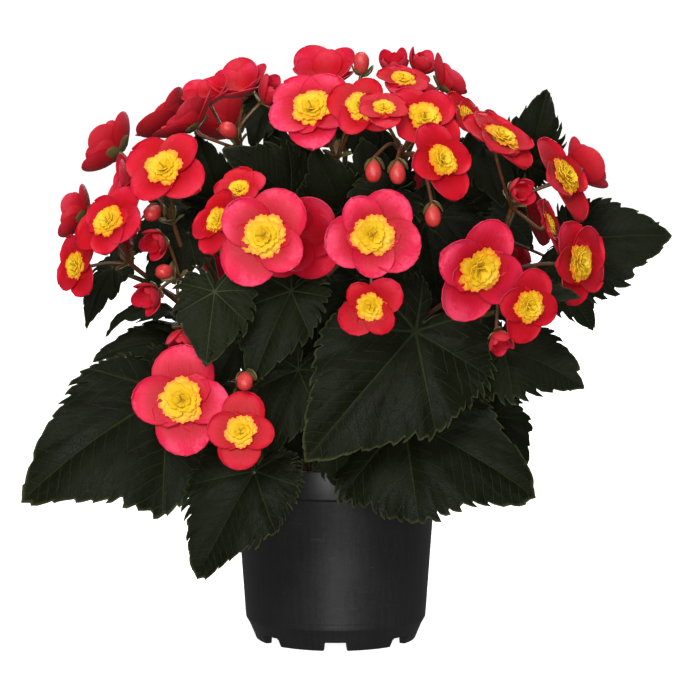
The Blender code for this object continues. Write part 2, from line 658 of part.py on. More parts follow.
def make_bloom(name, bloom, spin, inner_petals, collection):
    """A bloom's outer and inner petals, without its yellow centre and its receptacle."""
    radius = bloom.width / 2
    opening = bloom.opening
    outer_petals = LARGE_WHORL if bloom.width >= LARGE_BLOOM else SMALL_WHORL
    doubled = inner_petals and opening > OPEN_ENOUGH and bloom.width >= LARGE_BLOOM
    seat = -PETAL_THICKNESS / 2 - (OUTER_DROP * radius if doubled else 0.0)
    whorls = [
        make_whorl(
            f"{name}_outer", radius, outer_petals, OUTER_NOTCH, opening, seat, collection
        )
    ]
    if doubled:
        inner = make_whorl(
            f"{name}_inner",
            INNER_SHARE * radius,
            INNER_WHORL,
            INNER_NOTCH,
            0.6 * opening,
            -PETAL_THICKNESS / 2,
            collection,
        )
        inner.data.transform(Matrix.Rotation(math.radians(30), 4, "Z"))
        whorls.append(inner)
    placing = bloom_frame(bloom, spin)
    for whorl in whorls:
        whorl.data.transform(placing)
    return whorls


def bloom_frame(bloom, spin):
    """Axes at the bloom's hub: Z the way it faces, X upwards before it is spun."""
    facing = direction(bloom.turn, bloom.tilt)
    upright = Vector((0, 0, 1)) if abs(facing.z) < 0.95 else Vector((0, 1, 0))
    upright -= facing * upright.dot(facing)
    placing = frame(Vector(bloom.place), upright, facing)
    return placing @ Matrix.Rotation(math.radians(spin), 4, "Z")


def make_centre(name, bloom, spin, collection):
    """A bloom's frilled yellow centre: a flared cup whose top is folded in lobes."""
    radius = bloom.width / 2
    lobes = CENTRE_LOBES
    rings = [
        [(CENTRE_FOOT, SEAT_GAP / radius)] * (2 * lobes),
        list(CENTRE_RIM) * lobes,
        list(CENTRE_TOP) * lobes,
    ]
    bm = bmesh.new()
    loops = []
    for ring in rings:
        loop = []
        for index, (reach, height) in enumerate(ring):
            angle = math.pi * index / lobes
            place = Vector((reach * math.cos(angle), reach * math.sin(angle), height)) * radius
            loop.append(bm.verts.new(place))
        loops.append(loop)
    tip = bm.verts.new((0, 0, CENTRE_TIP * radius))
    bm.faces.new(loops[0][::-1])
    for lower, upper in zip(loops, loops[1:]):
        for index in range(2 * lobes):
            following = (index + 1) % (2 * lobes)
            bm.faces.new([lower[index], lower[following], upper[following]])
            bm.faces.new([lower[index], upper[following], upper[index]])
    for index in range(2 * lobes):
        bm.faces.new([loops[-1][index], loops[-1][(index + 1) % (2 * lobes)], tip])
    centre = mesh_object(name, bm, collection)
    centre.matrix_world = bloom_frame(bloom, spin)
    finish(centre, (0.90, 0.55, 0.03), 0.55)
    return centre


def make_bud(name, bud, collection):
    bm = bmesh.new()
    bmesh.ops.create_uvsphere(bm, u_segments=4, v_segments=4, radius=1.0)
    for point in bm.verts:
        swell = 1.0 + 0.15 * point.co.z
        point.co.x *= BUD_RADIUS * swell
        point.co.y *= BUD_RADIUS * swell
        point.co.z = (point.co.z + 0.8) * BUD_LENGTH / 2
    solid = mesh_object(name, bm, collection)
    facing = direction(bud.turn, bud.tilt)
    across = Vector((1, 0, 0)) if abs(facing.x) < 0.9 else Vector((0, 1, 0))
    solid.data.transform(frame(Vector(bud.place), across - facing * across.dot(facing), facing))
    return solid


def make_pedicel(name, hub, leaving, end, facing, end_radius, collection):
    """A stalk from the spray's hub that widens into what carries the bloom or bud."""
    reach = (end - hub).length
    neck = end - facing * end_radius * 2.2
    middle = bezier(hub, hub + leaving * reach * 0.35, neck - facing * reach * 0.35, neck, 2)[1]
    radii = [PEDICEL_RADIUS * 1.15, PEDICEL_RADIUS, PEDICEL_RADIUS, end_radius]
    return tube(name, [hub, middle, neck, end], radii, collection)


def make_spray(name, spray, collection):
    """One branching flower stalk, seated on its stem, with its blooms and buds."""
    hub = Vector(spray.hub)
    place, along, radius = on_stem(STEMS[spray.stem], spray.root)
    if spray.root >= 1.0:
        leaving = along
        seat = place + along * SEAT_GAP
    else:
        leaving = hub - place
        leaving = (leaving - along * leaving.dot(along)).normalized()
        seat = place + leaving * (radius + SEAT_GAP)
    reach = (hub - seat).length
    arriving = (hub - seat).normalized()
    collar = seat + leaving * 0.004
    path = [seat]
    path += bezier(collar, collar + leaving * reach * 0.3, hub - arriving * reach * 0.3, hub, 3)
    radii = taper(PEDUNCLE_RADIUS, PEDUNCLE_RADIUS * 0.85, len(path))
    stalk = tube(f"spray_{name}", path, radii, collection)
    parts = []
    spins = random.Random(name)
    centres = []
    for index, bloom in enumerate(spray.blooms):
        bloom_name = f"{name}_{index + 1}"
        facing = direction(bloom.turn, bloom.tilt)
        spin = spins.uniform(0, 72)
        parts += make_bloom(bloom_name, bloom, spin, spray.inner_petals, collection)
        parts.append(
            make_pedicel(
                f"{bloom_name}_pedicel",
                hub,
                arriving,
                Vector(bloom.place) - facing * PETAL_THICKNESS / 2,
                facing,
                RECEPTACLE_RADIUS * bloom.width / 2,
                collection,
            )
        )
        if bloom.opening > OPEN_ENOUGH:
            centres.append((f"centre_{bloom_name}", bloom, spin))
    for index, bud in enumerate(spray.buds):
        facing = direction(bud.turn, bud.tilt)
        end = Vector(bud.place) + facing * 0.002
        bud_name = f"{name}_bud_{index + 1}"
        parts.append(make_bud(bud_name, bud, collection))
        parts.append(
            make_pedicel(
                f"{bud_name}_stalk", hub, arriving, end, facing, PEDICEL_RADIUS * 1.3, collection
            )
        )
    join_solids(stalk, parts)
    finish(stalk, (0.62, 0.018, 0.035), 0.50)
    for centre_name, bloom, spin in centres:
        make_centre(centre_name, bloom, spin, collection)
    return stalk


def rear_sprays():
    """The far side of the plant, by a rule with small seeded shifts."""
    shifts = random.Random(REAR_SEED)
    sprays = {}
    for number, (bearing, stem) in enumerate(REAR_STEMS.items()):
        blooms = []
        spots = (
            (bearing - REAR_SPREAD, REAR_LOW_REACH, REAR_LOW_HEIGHT, 5, 1.0),
            (bearing + REAR_SPREAD, REAR_MIDDLE_REACH, REAR_MIDDLE_HEIGHT, 22, 1.0),
            (bearing, REAR_HIGH_REACH, REAR_HIGH_HEIGHT, 45, 0.62),
        )
        for turn, reach, height, tilt, opening in spots:
            turn += shifts.uniform(-2, 2)
            reach += shifts.uniform(-0.006, 0.006)
            height += shifts.uniform(-0.008, 0.008)
            width = REAR_BLOOM + shifts.uniform(-0.008, 0.003)
            place = direction(turn, 0) * reach + Vector((0, 0, height))
            blooms.append(Bloom(tuple(place), width, turn, tilt, opening))
        hub = direction(bearing, 0) * REAR_HUB_REACH + Vector((0, 0, REAR_HUB_HEIGHT))
        sprays[f"rear_{number + 1}"] = Spray(stem, REAR_ROOT, tuple(hub), blooms, [], False)
    return sprays


def main():
    clear_scene()
    begonia = new_collection("potted_begonia")
    cutters = new_collection("cutters")
    make_pot(begonia, cutters)
    make_soil(begonia, cutters)
    for name, stem in STEMS.items():
        make_leafy_stem(name, stem, begonia)
    for name, spray in {**SPRAYS, **rear_sprays()}.items():
        make_spray(name, spray, begonia)


main()
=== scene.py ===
import json
import math
import random
from functools import partialmethod

import bmesh
import bpy
from mathutils import Matrix, Vector

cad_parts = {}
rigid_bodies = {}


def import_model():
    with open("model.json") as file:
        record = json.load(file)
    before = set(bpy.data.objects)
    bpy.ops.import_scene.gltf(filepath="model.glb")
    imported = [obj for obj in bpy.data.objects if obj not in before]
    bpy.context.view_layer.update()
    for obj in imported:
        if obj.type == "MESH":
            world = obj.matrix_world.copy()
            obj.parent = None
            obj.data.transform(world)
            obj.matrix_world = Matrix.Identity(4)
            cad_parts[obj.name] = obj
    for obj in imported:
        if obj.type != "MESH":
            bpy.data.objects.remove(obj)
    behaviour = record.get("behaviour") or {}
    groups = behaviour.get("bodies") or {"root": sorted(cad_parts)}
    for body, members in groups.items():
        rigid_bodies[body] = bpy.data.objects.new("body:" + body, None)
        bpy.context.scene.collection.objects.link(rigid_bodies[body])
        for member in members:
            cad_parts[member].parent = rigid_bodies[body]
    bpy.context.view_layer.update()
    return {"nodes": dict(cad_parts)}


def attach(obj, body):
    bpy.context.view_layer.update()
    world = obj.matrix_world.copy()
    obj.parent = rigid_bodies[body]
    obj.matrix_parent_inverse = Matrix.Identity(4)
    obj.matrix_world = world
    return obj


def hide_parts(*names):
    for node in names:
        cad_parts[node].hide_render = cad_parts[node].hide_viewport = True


bpy.ops.object.select_all(action="SELECT")
bpy.ops.object.delete()

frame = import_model()
scene = bpy.context.scene
print("frame loaded:", len(frame["nodes"]), "nodes")


trees = []  # nodes go into the tree that was started last


class Wire:
    # a socket that takes part in plain sums; each sum adds one Math node
    def __init__(self, socket):
        self.socket = socket

    def math(self, operation, *others):
        node = addNode("ShaderNodeMath", operation=operation)
        for socket, value in zip(node.inputs, (self, *others)):
            plug(value, socket)
        return Wire(node.outputs[0])

    __add__ = __radd__ = partialmethod(math, "ADD")
    __sub__ = partialmethod(math, "SUBTRACT")
    __rsub__ = partialmethod(math, "MULTIPLY_ADD", -1.0)
    __mul__ = partialmethod(math, "MULTIPLY")
    __truediv__ = partialmethod(math, "DIVIDE")
    __pow__ = partialmethod(math, "POWER")

    def ramp(self, low, high, start=0.0, end=1.0, kind="SMOOTHSTEP"):
        # start below low, end above high, eased between
        values = {"Value": self, "From Min": low, "From Max": high, "To Min": start, "To Max": end}
        return out("ShaderNodeMapRange", values, interpolation_type=kind)


def plug(value, socket):
    value = value.socket if isinstance(value, Wire) else value
    if isinstance(value, bpy.types.NodeSocket):
        trees[-1].links.new(value, socket)
    else:
        socket.default_value = value


def addNode(kind, values=None, **settings):
    node = trees[-1].nodes.new(kind)
    for key, value in settings.items():
        setattr(node, key, value)
    for key, value in (values or {}).items():
        plug(value, node.inputs[key])
    return node


def out(kind, values=None, output=0, **settings):
    return Wire(addNode(kind, values, **settings).outputs[output])


def geo(kind, values=None, **settings):
    return out("GeometryNode" + kind, values, **settings)


def sineOf(value):
    return value.math("SINE")


def cosineOf(value):
    return value.math("COSINE")


def axesOf(vector):
    return [Wire(socket) for socket in addNode("ShaderNodeSeparateXYZ", {0: vector}).outputs]


def vectorOf(x, y, z):
    return out("ShaderNodeCombineXYZ", {0: x, 1: y, 2: z})


def scaled(vector, factor):
    return out("ShaderNodeVectorMath", {0: vector, "Scale": factor}, operation="SCALE")


def newTree(name, kind, inputs, outputs):
    # sockets are given by name, with their default number or their type
    tree = bpy.data.node_groups.new(name, kind)
    trees.append(tree)
    for way, sockets in (("INPUT", inputs), ("OUTPUT", outputs)):
        for socketName, default in sockets.items():
            typed = default if isinstance(default, str) else "Int" if isinstance(default, int) else "Float"
            socket = tree.interface.new_socket(name=socketName, in_out=way, socket_type="NodeSocket" + typed)
            if default is not typed:
                socket.default_value = default
    given = tree.nodes.new("NodeGroupInput")
    tree.nodes.new("NodeGroupOutput")
    return {socket.name: Wire(socket) for socket in given.outputs if socket.name}


def geometryTree(name, inputs):
    given = newTree(name, "GeometryNodeTree", {"Geometry": "Geometry", **inputs}, {"Geometry": "Geometry"})
    trees[-1].is_modifier = True
    return given


def endGroup(**values):
    for name, value in values.items():
        plug(value, trees[-1].nodes["Group Output"].inputs[name])
    return trees[-1]


def skinned(geometry, material):
    return geo("SetMaterial", {"Geometry": geometry, "Material": material})


def endTree(geometry, material=None):
    # made real, then smooth except at its sharp edges
    real = geo("RealizeInstances", {"Geometry": geometry})
    if material:
        real = skinned(real, material)
    faces = geo("SetShadeSmooth", {"Geometry": real, "Shade Smooth": True}, domain="FACE")
    soft = geo("InputMeshEdgeAngle").math("LESS_THAN", 0.9)
    return endGroup(Geometry=geo("SetShadeSmooth", {"Geometry": faces, "Shade Smooth": soft}, domain="EDGE"))


def storeOn(geometry, name, kind, value, domain="POINT"):
    values = {"Geometry": geometry, "Name": name, "Value": value}
    return geo("StoreNamedAttribute", values, data_type=kind, domain=domain)


def merged(geometry):
    return geo("MergeByDistance", {"Geometry": geometry, "Distance": 0.00002})


def joinedOf(*parts):
    node = addNode("GeometryNodeJoinGeometry")
    for part in parts:
        plug(part, node.inputs[0])
    return Wire(node.outputs[0])


def randomOf(kind, values, low, high):
    node = addNode("FunctionNodeRandomValue", values, data_type=kind)
    bounds = [socket for socket in node.inputs if socket.name in ("Min", "Max") and socket.enabled]
    bounds[0].default_value, bounds[1].default_value = low, high
    return Wire([socket for socket in node.outputs if socket.enabled][0])


def chanceFrom(index, seed):
    # gives a function for random numbers that differ by instance and by salt
    def chance(salt, low, high):
        return randomOf("FLOAT", {"ID": index, "Seed": seed + float(salt)}, low, high)

    return chance


def thickened(sheet, thickness, upper, under):
    # an open sheet becomes a closed blade: its underside stays, its top is lifted along the normals
    top = geo("ExtrudeMesh", {"Mesh": sheet, "Offset Scale": thickness, "Individual": False})
    bottom = geo("FlipFaces", {"Mesh": sheet})
    return merged(joinedOf(skinned(top, upper), skinned(bottom, under)))


def flatSheet(acrossCount, alongCount):
    # a unit grid: returns it with its two coordinates, both from 0 to 1
    values = {"Size X": 1.0, "Size Y": 1.0, "Vertices X": acrossCount, "Vertices Y": alongCount}
    across, along, _ = axesOf(geo("InputPosition"))
    return geo("MeshGrid", values), across + 0.5, along + 0.5


def bent(sheet, place):
    return merged(geo("SetPosition", {"Geometry": sheet, "Position": place}))


def grown(shape, values, base=None):
    # runs a tree on a mesh, or on nothing, and returns the plain mesh that it makes
    holder = bpy.data.objects.new("growing", base or bpy.data.meshes.new("seedMesh"))
    scene.collection.objects.link(holder)
    modifier = holder.modifiers.new("Grow", "NODES")
    modifier.node_group = shape
    for socket in shape.interface.items_tree:
        if socket.in_out == "INPUT" and socket.name in values:
            modifier[socket.identifier] = values[socket.name]
    graph = bpy.context.evaluated_depsgraph_get()
    mesh = bpy.data.meshes.new_from_object(holder.evaluated_get(graph))
    bpy.data.objects.remove(holder)
    return mesh


def placed(mesh, matrix):
    mesh.transform(matrix)
    return mesh


def joinedPiece(name, meshes, slot, *nodes):
    pieces = []
    for mesh in meshes:
        piece = bpy.data.objects.new(name, mesh)
        scene.collection.objects.link(piece)
        pieces.append(piece)
    if len(pieces) > 1:
        chosen = {"selected_editable_objects": pieces, "selected_objects": pieces}
        with bpy.context.temp_override(active_object=pieces[0], object=pieces[0], **chosen):
            bpy.ops.object.join()
    piece = pieces[0]
    piece.name = name
    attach(piece, "root")
    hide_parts(*nodes)


def newMaterial(name, roughness, **fixed):
    material = bpy.data.materials.new(name)
    material.use_nodes = True
    trees.append(material.node_tree)
    shader = material.node_tree.nodes["Principled BSDF"]
    shader.inputs["Roughness"].default_value = roughness
    for key, value in fixed.items():
        shader.inputs[key.replace("_", " ")].default_value = value
    return material


def finish(material, colour, roughness, height, strength, distance):
    inputs = material.node_tree.nodes["Principled BSDF"].inputs
    plug(colour, inputs["Base Color"])
    plug(roughness, inputs["Roughness"])
    values = {"Height": height, "Strength": strength, "Distance": distance}
    plug(out("ShaderNodeBump", values), inputs["Normal"])
    return material


def colourMix(share, first, second):
    node = addNode("ShaderNodeMix", {"Factor": share}, data_type="RGBA")
    for socket, value in zip([socket for socket in node.inputs if socket.type == "RGBA"], (first, second)):
        plug((*value, 1.0) if isinstance(value, tuple) else value, socket)
    return Wire([socket for socket in node.outputs if socket.type == "RGBA"][0])


def noiseOf(coordinates, scale, detail=3.0, roughness=0.55):
    values = {"Vector": coordinates, "Scale": scale, "Detail": detail, "Roughness": roughness}
    return out("ShaderNodeTexNoise", values)


def attributeOf(name, output="Vector"):
    return out("ShaderNodeAttribute", attribute_name=name, output=output)


def objectCoordinates():
    return out("ShaderNodeTexCoord", output="Object")


def makeMottleGroup():
    # soft uneven colour at two scales, shared by every finish
    inputs = {"Vector": "Vector", "Coarse": 40.0, "Fine": 400.0, "Balance": 0.5}
    given = newTree("Mottle", "ShaderNodeTree", inputs, {"Mask": "Float"})
    coarse = noiseOf(given["Vector"], given["Coarse"])
    fine = noiseOf(given["Vector"], given["Fine"])
    mask = coarse * given["Balance"] + fine * (1.0 - given["Balance"])
    return endGroup(Mask=mask.ramp(0.3, 0.7))


def makeVeinGroup():
    # vein lines of a leaf from its own flat coordinates: along, across, and share of the way to the edge
    inputs = {"Place": "Vector", "Spacing": 0.873, "Width": 0.010}
    outputs = {"Main": "Float", "Side": "Float", "Net": "Float", "Edge": "Float"}
    given = newTree("LeafVeins", "ShaderNodeTree", inputs, outputs)
    along, across, share = axesOf(given["Place"])
    angle = across.math("ARCTAN2", along)
    reach = (along * along + across * across) ** 0.5
    sector = (angle / given["Spacing"]).math("ROUND") * given["Spacing"]
    off = angle - sector
    beside = (sineOf(off) * reach).math("ABSOLUTE")
    onward = cosineOf(off) * reach
    width = given["Width"] * share.ramp(0.0, 1.0, 1.0, 0.25, "LINEAR")
    main = (beside / width).ramp(0.6, 1.5, 1.0, 0.0)
    # side veins leave the main ones at a slant and bend towards the edge
    wander = noiseOf(given["Place"], 6.0) * 0.05
    step = (onward - beside * 0.85 + wander) * 13.0
    line = (step.math("FRACT") - 0.5).math("ABSOLUTE")
    side = line.ramp(0.02, 0.09, 1.0, 0.0) * share.ramp(0.12, 0.3)
    cells = out("ShaderNodeTexVoronoi", {"Vector": given["Place"], "Scale": 46.0}, feature="DISTANCE_TO_EDGE")
    return endGroup(Main=main, Side=side, Net=cells.ramp(0.0, 0.10, 1.0, 0.0), Edge=share.ramp(0.968, 0.998))


mottleGroup = makeMottleGroup()
veinGroup = makeVeinGroup()


def groupIn(group, values):
    node = addNode("ShaderNodeGroup", values, node_tree=group)
    return {socket.name: Wire(socket) for socket in node.outputs}


def mottleOf(coarse, fine, balance=0.5):
    values = {"Vector": objectCoordinates(), "Coarse": coarse, "Fine": fine, "Balance": balance}
    return groupIn(mottleGroup, values)["Mask"]


def between(mask, low, high):
    return mask.ramp(0.0, 1.0, low, high, "LINEAR")


leafLook = {
    "dark": (0.0026, 0.0029, 0.0012),
    "light": (0.0100, 0.0132, 0.0038),
    "vein": (0.0550, 0.0720, 0.0280),
    "edge": (0.0480, 0.0540, 0.0190),
    "underside": (0.0180, 0.0200, 0.0100),
    "roughness": 0.46,
}


def makeLeafMaterial(name, look, underneath=False):
    material = newMaterial(name, look["roughness"], Specular_IOR_Level=0.08)
    place = attributeOf("leafPlace")
    tone = attributeOf("tone", "Fac")
    veins = groupIn(veinGroup, {"Place": place})
    mottle = mottleOf(45.0, 700.0, 0.6)
    base = look["underside"] if underneath else look["dark"]
    fresh = look["underside"] if underneath else look["light"]
    colour = colourMix(mottle * 0.5 + tone * 0.6, base, fresh)
    colour = colourMix(veins["Side"] * (tone * 0.22 + 0.05) + veins["Net"] * 0.04, colour, look["vein"])
    colour = colourMix(veins["Main"] * (tone * 0.65 + 0.09), colour, look["vein"])
    colour = colourMix(veins["Edge"] * (mottle * 0.7 + 0.35), colour, look["edge"])
    roughness = between(mottle, look["roughness"] - 0.06, look["roughness"] + 0.08)
    height = veins["Main"] * -0.9 + veins["Side"] * -0.45 + veins["Net"] * -0.16 + mottle * 0.12
    return finish(material, colour, roughness, height * (-1.0 if underneath else 1.0), 0.55, 0.0012)


petalLook = {
    "red": (0.500, 0.0022, 0.0050),
    "rose": (0.780, 0.0250, 0.0900),
    # deeper red for the veins and the petal's own red margin, also used as painted shade near the centre and
    # painted shadow at the edges
    "darkRedAndShade": (0.360, 0.0030, 0.0080),
    "base": (0.700, 0.0600, 0.0120),
    "back": (0.520, 0.0220, 0.0340),
    # pale pink for the painted sheen patches on the petals
    "paintedSheen": (0.900, 0.1200, 0.2300),
    "roughness": 0.46,
}


def makePetalMaterial(name, look, back=False):
    material = newMaterial(
        name, look["roughness"], Specular_IOR_Level=0.14, Sheen_Weight=0.03, Sheen_Roughness=0.4)
    across, along, _ = axesOf(attributeOf("petalPlace"))
    rosy = attributeOf("tone", "Fac")
    cloud = mottleOf(60.0, 500.0, 0.7)
    ribs = noiseOf(vectorOf(across * 26.0, along * 2.0, rosy * 40.0), 1.0, 2.0)
    middle = across.math("ABSOLUTE").ramp(0.0, 0.8, 1.0, 0.0)
    pinkness = rosy * along.ramp(0.20, 0.75, 0.15, 1.0) + cloud * 0.16 - 0.06
    face = colourMix(pinkness, look["red"], look["rose"])
    if back:
        face = colourMix(0.72, face, look["back"])
    # painted sheen: cloudy pale pink patches on the middle and outer petal stand in for soft highlights
    sheenPatches = cloud.ramp(0.42, 0.80) * along.ramp(0.35, 0.80) * (rosy * 0.62 - 0.10)
    face = colourMix(sheenPatches, face, look["paintedSheen"])
    # darker red: the veins and the petal's own red margin, with painted shade at the petal base near the centre
    # and painted shadow along the edges between petals
    rim = across.math("ABSOLUTE").math("MAXIMUM", along).ramp(0.88, 1.0)
    redAndShadeMask = ribs.ramp(0.45, 0.75) * 0.12 + along.ramp(0.30, 0.66, 0.60, 0.0) + rim * 0.30
    face = colourMix(redAndShadeMask, face, look["darkRedAndShade"])
    if not back:
        face = colourMix(along.ramp(0.0, 0.16, 0.8, 0.0) * middle, face, look["base"])
    roughness = between(cloud, look["roughness"] - 0.05, look["roughness"] + 0.08)
    return finish(material, face, roughness, ribs + cloud * 0.8, 0.32, 0.0007)


centreLook = {
    "yellow": (0.800, 0.490, 0.007),
    "lemon": (0.860, 0.600, 0.022),
    "shade": (0.620, 0.240, 0.006),
    # dark olive for the painted shade in the creases of the inner petaloids
    "green": (0.200, 0.190, 0.012),
    "fringe": (0.820, 0.150, 0.015),
    "roughness": 0.55,
}


def makeCentreMaterial(look):
    material = newMaterial("frilledCentre", look["roughness"], Specular_IOR_Level=0.3)
    across, along, _ = axesOf(attributeOf("petalPlace"))
    ring = attributeOf("ring", "Fac")
    cloud = mottleOf(250.0, 1200.0)
    colour = colourMix(cloud, look["yellow"], look["lemon"])
    # painted shade: the middle of each inner petaloid turns dark olive, where the creases near the centre lie
    creaseShade = across.math("ABSOLUTE").ramp(0.04, 0.30, 1.0, 0.0)
    colour = colourMix(along.ramp(0.35, 0.95, 0.75, 0.0), colour, look["shade"])
    colour = colourMix(ring.ramp(0.10, 0.50, 0.85, 0.0) * creaseShade, colour, look["green"])
    colour = colourMix(along.ramp(0.80, 0.98) * ring.ramp(0.55, 0.95, 0.10, 0.80), colour, look["fringe"])
    return finish(material, colour, between(cloud, 0.48, 0.62), cloud, 0.25, 0.0004)


stalkLook = {
    "green": (0.050, 0.070, 0.018),
    "red": (0.130, 0.022, 0.012),
    "pale": (0.160, 0.190, 0.070),
    "roughness": 0.36,
}


def makeStalkMaterial(name, look, redness):
    material = newMaterial(name, look["roughness"], Specular_IOR_Level=0.5)
    mottle = mottleOf(70.0, 900.0, 0.7)
    streaks = noiseOf(objectCoordinates(), 260.0, 2.0)
    colour = colourMix(between(mottle, redness - 0.25, redness + 0.25), look["green"], look["red"])
    colour = colourMix(streaks.ramp(0.56, 0.72) * 0.35, colour, look["pale"])
    roughness = between(mottle, look["roughness"] - 0.04, look["roughness"] + 0.1)
    return finish(material, colour, roughness, streaks, 0.2, 0.0005)


budLook = {
    "coral": (0.520, 0.022, 0.022),
    "rose": (0.620, 0.055, 0.050),
    "green": (0.200, 0.120, 0.035),
    "roughness": 0.42,
}


def makeBudMaterial(look):
    material = newMaterial("budSkin", look["roughness"], Specular_IOR_Level=0.45)
    _, along, _ = axesOf(attributeOf("petalPlace"))
    mottle = mottleOf(160.0, 900.0)
    colour = colourMix(mottle, look["coral"], look["rose"])
    colour = colourMix(along.ramp(0.0, 0.35, 0.7, 0.0), colour, look["green"])
    return finish(material, colour, between(mottle, 0.36, 0.5), mottle, 0.2, 0.0004)


bractLook = {**stalkLook, "green": (0.100, 0.115, 0.035), "red": (0.200, 0.050, 0.025)}

materials = {
    "leaf": makeLeafMaterial("leafUpper", leafLook),
    "leafUnder": makeLeafMaterial("leafUnder", leafLook, underneath=True),
    "petal": makePetalMaterial("petalFace", petalLook),
    "petalBack": makePetalMaterial("petalBack", petalLook, back=True),
    "centre": makeCentreMaterial(centreLook),
    "stem": makeStalkMaterial("stemSkin", stalkLook, 0.35),
    "stalk": makeStalkMaterial("flowerStalkSkin", stalkLook, 0.70),
    "bract": makeStalkMaterial("bractSkin", bractLook, 0.30),
    "bud": makeBudMaterial(budLook),
}
print("finishes made:", len(materials))


# the plant's layout, in millimetres; a turn is a bearing from the front towards +X and a tilt is
# the height above level, both in degrees

# foot on the soil, top
stems = {
    "left": ((-21, -6), (-70, -42, 200)),
    "front": ((-6, -24), (-26, -82, 205)),
    "front_right": ((17, -15), (48, -70, 205)),
    "right": ((23, 8), (78, -22, 205)),
    "top": ((0, 1), (4, -20, 262)),
    "back_left": ((-13, 20), (-52, 56, 205)),
    "back_right": ((9, 25), (46, 64, 205)),
}

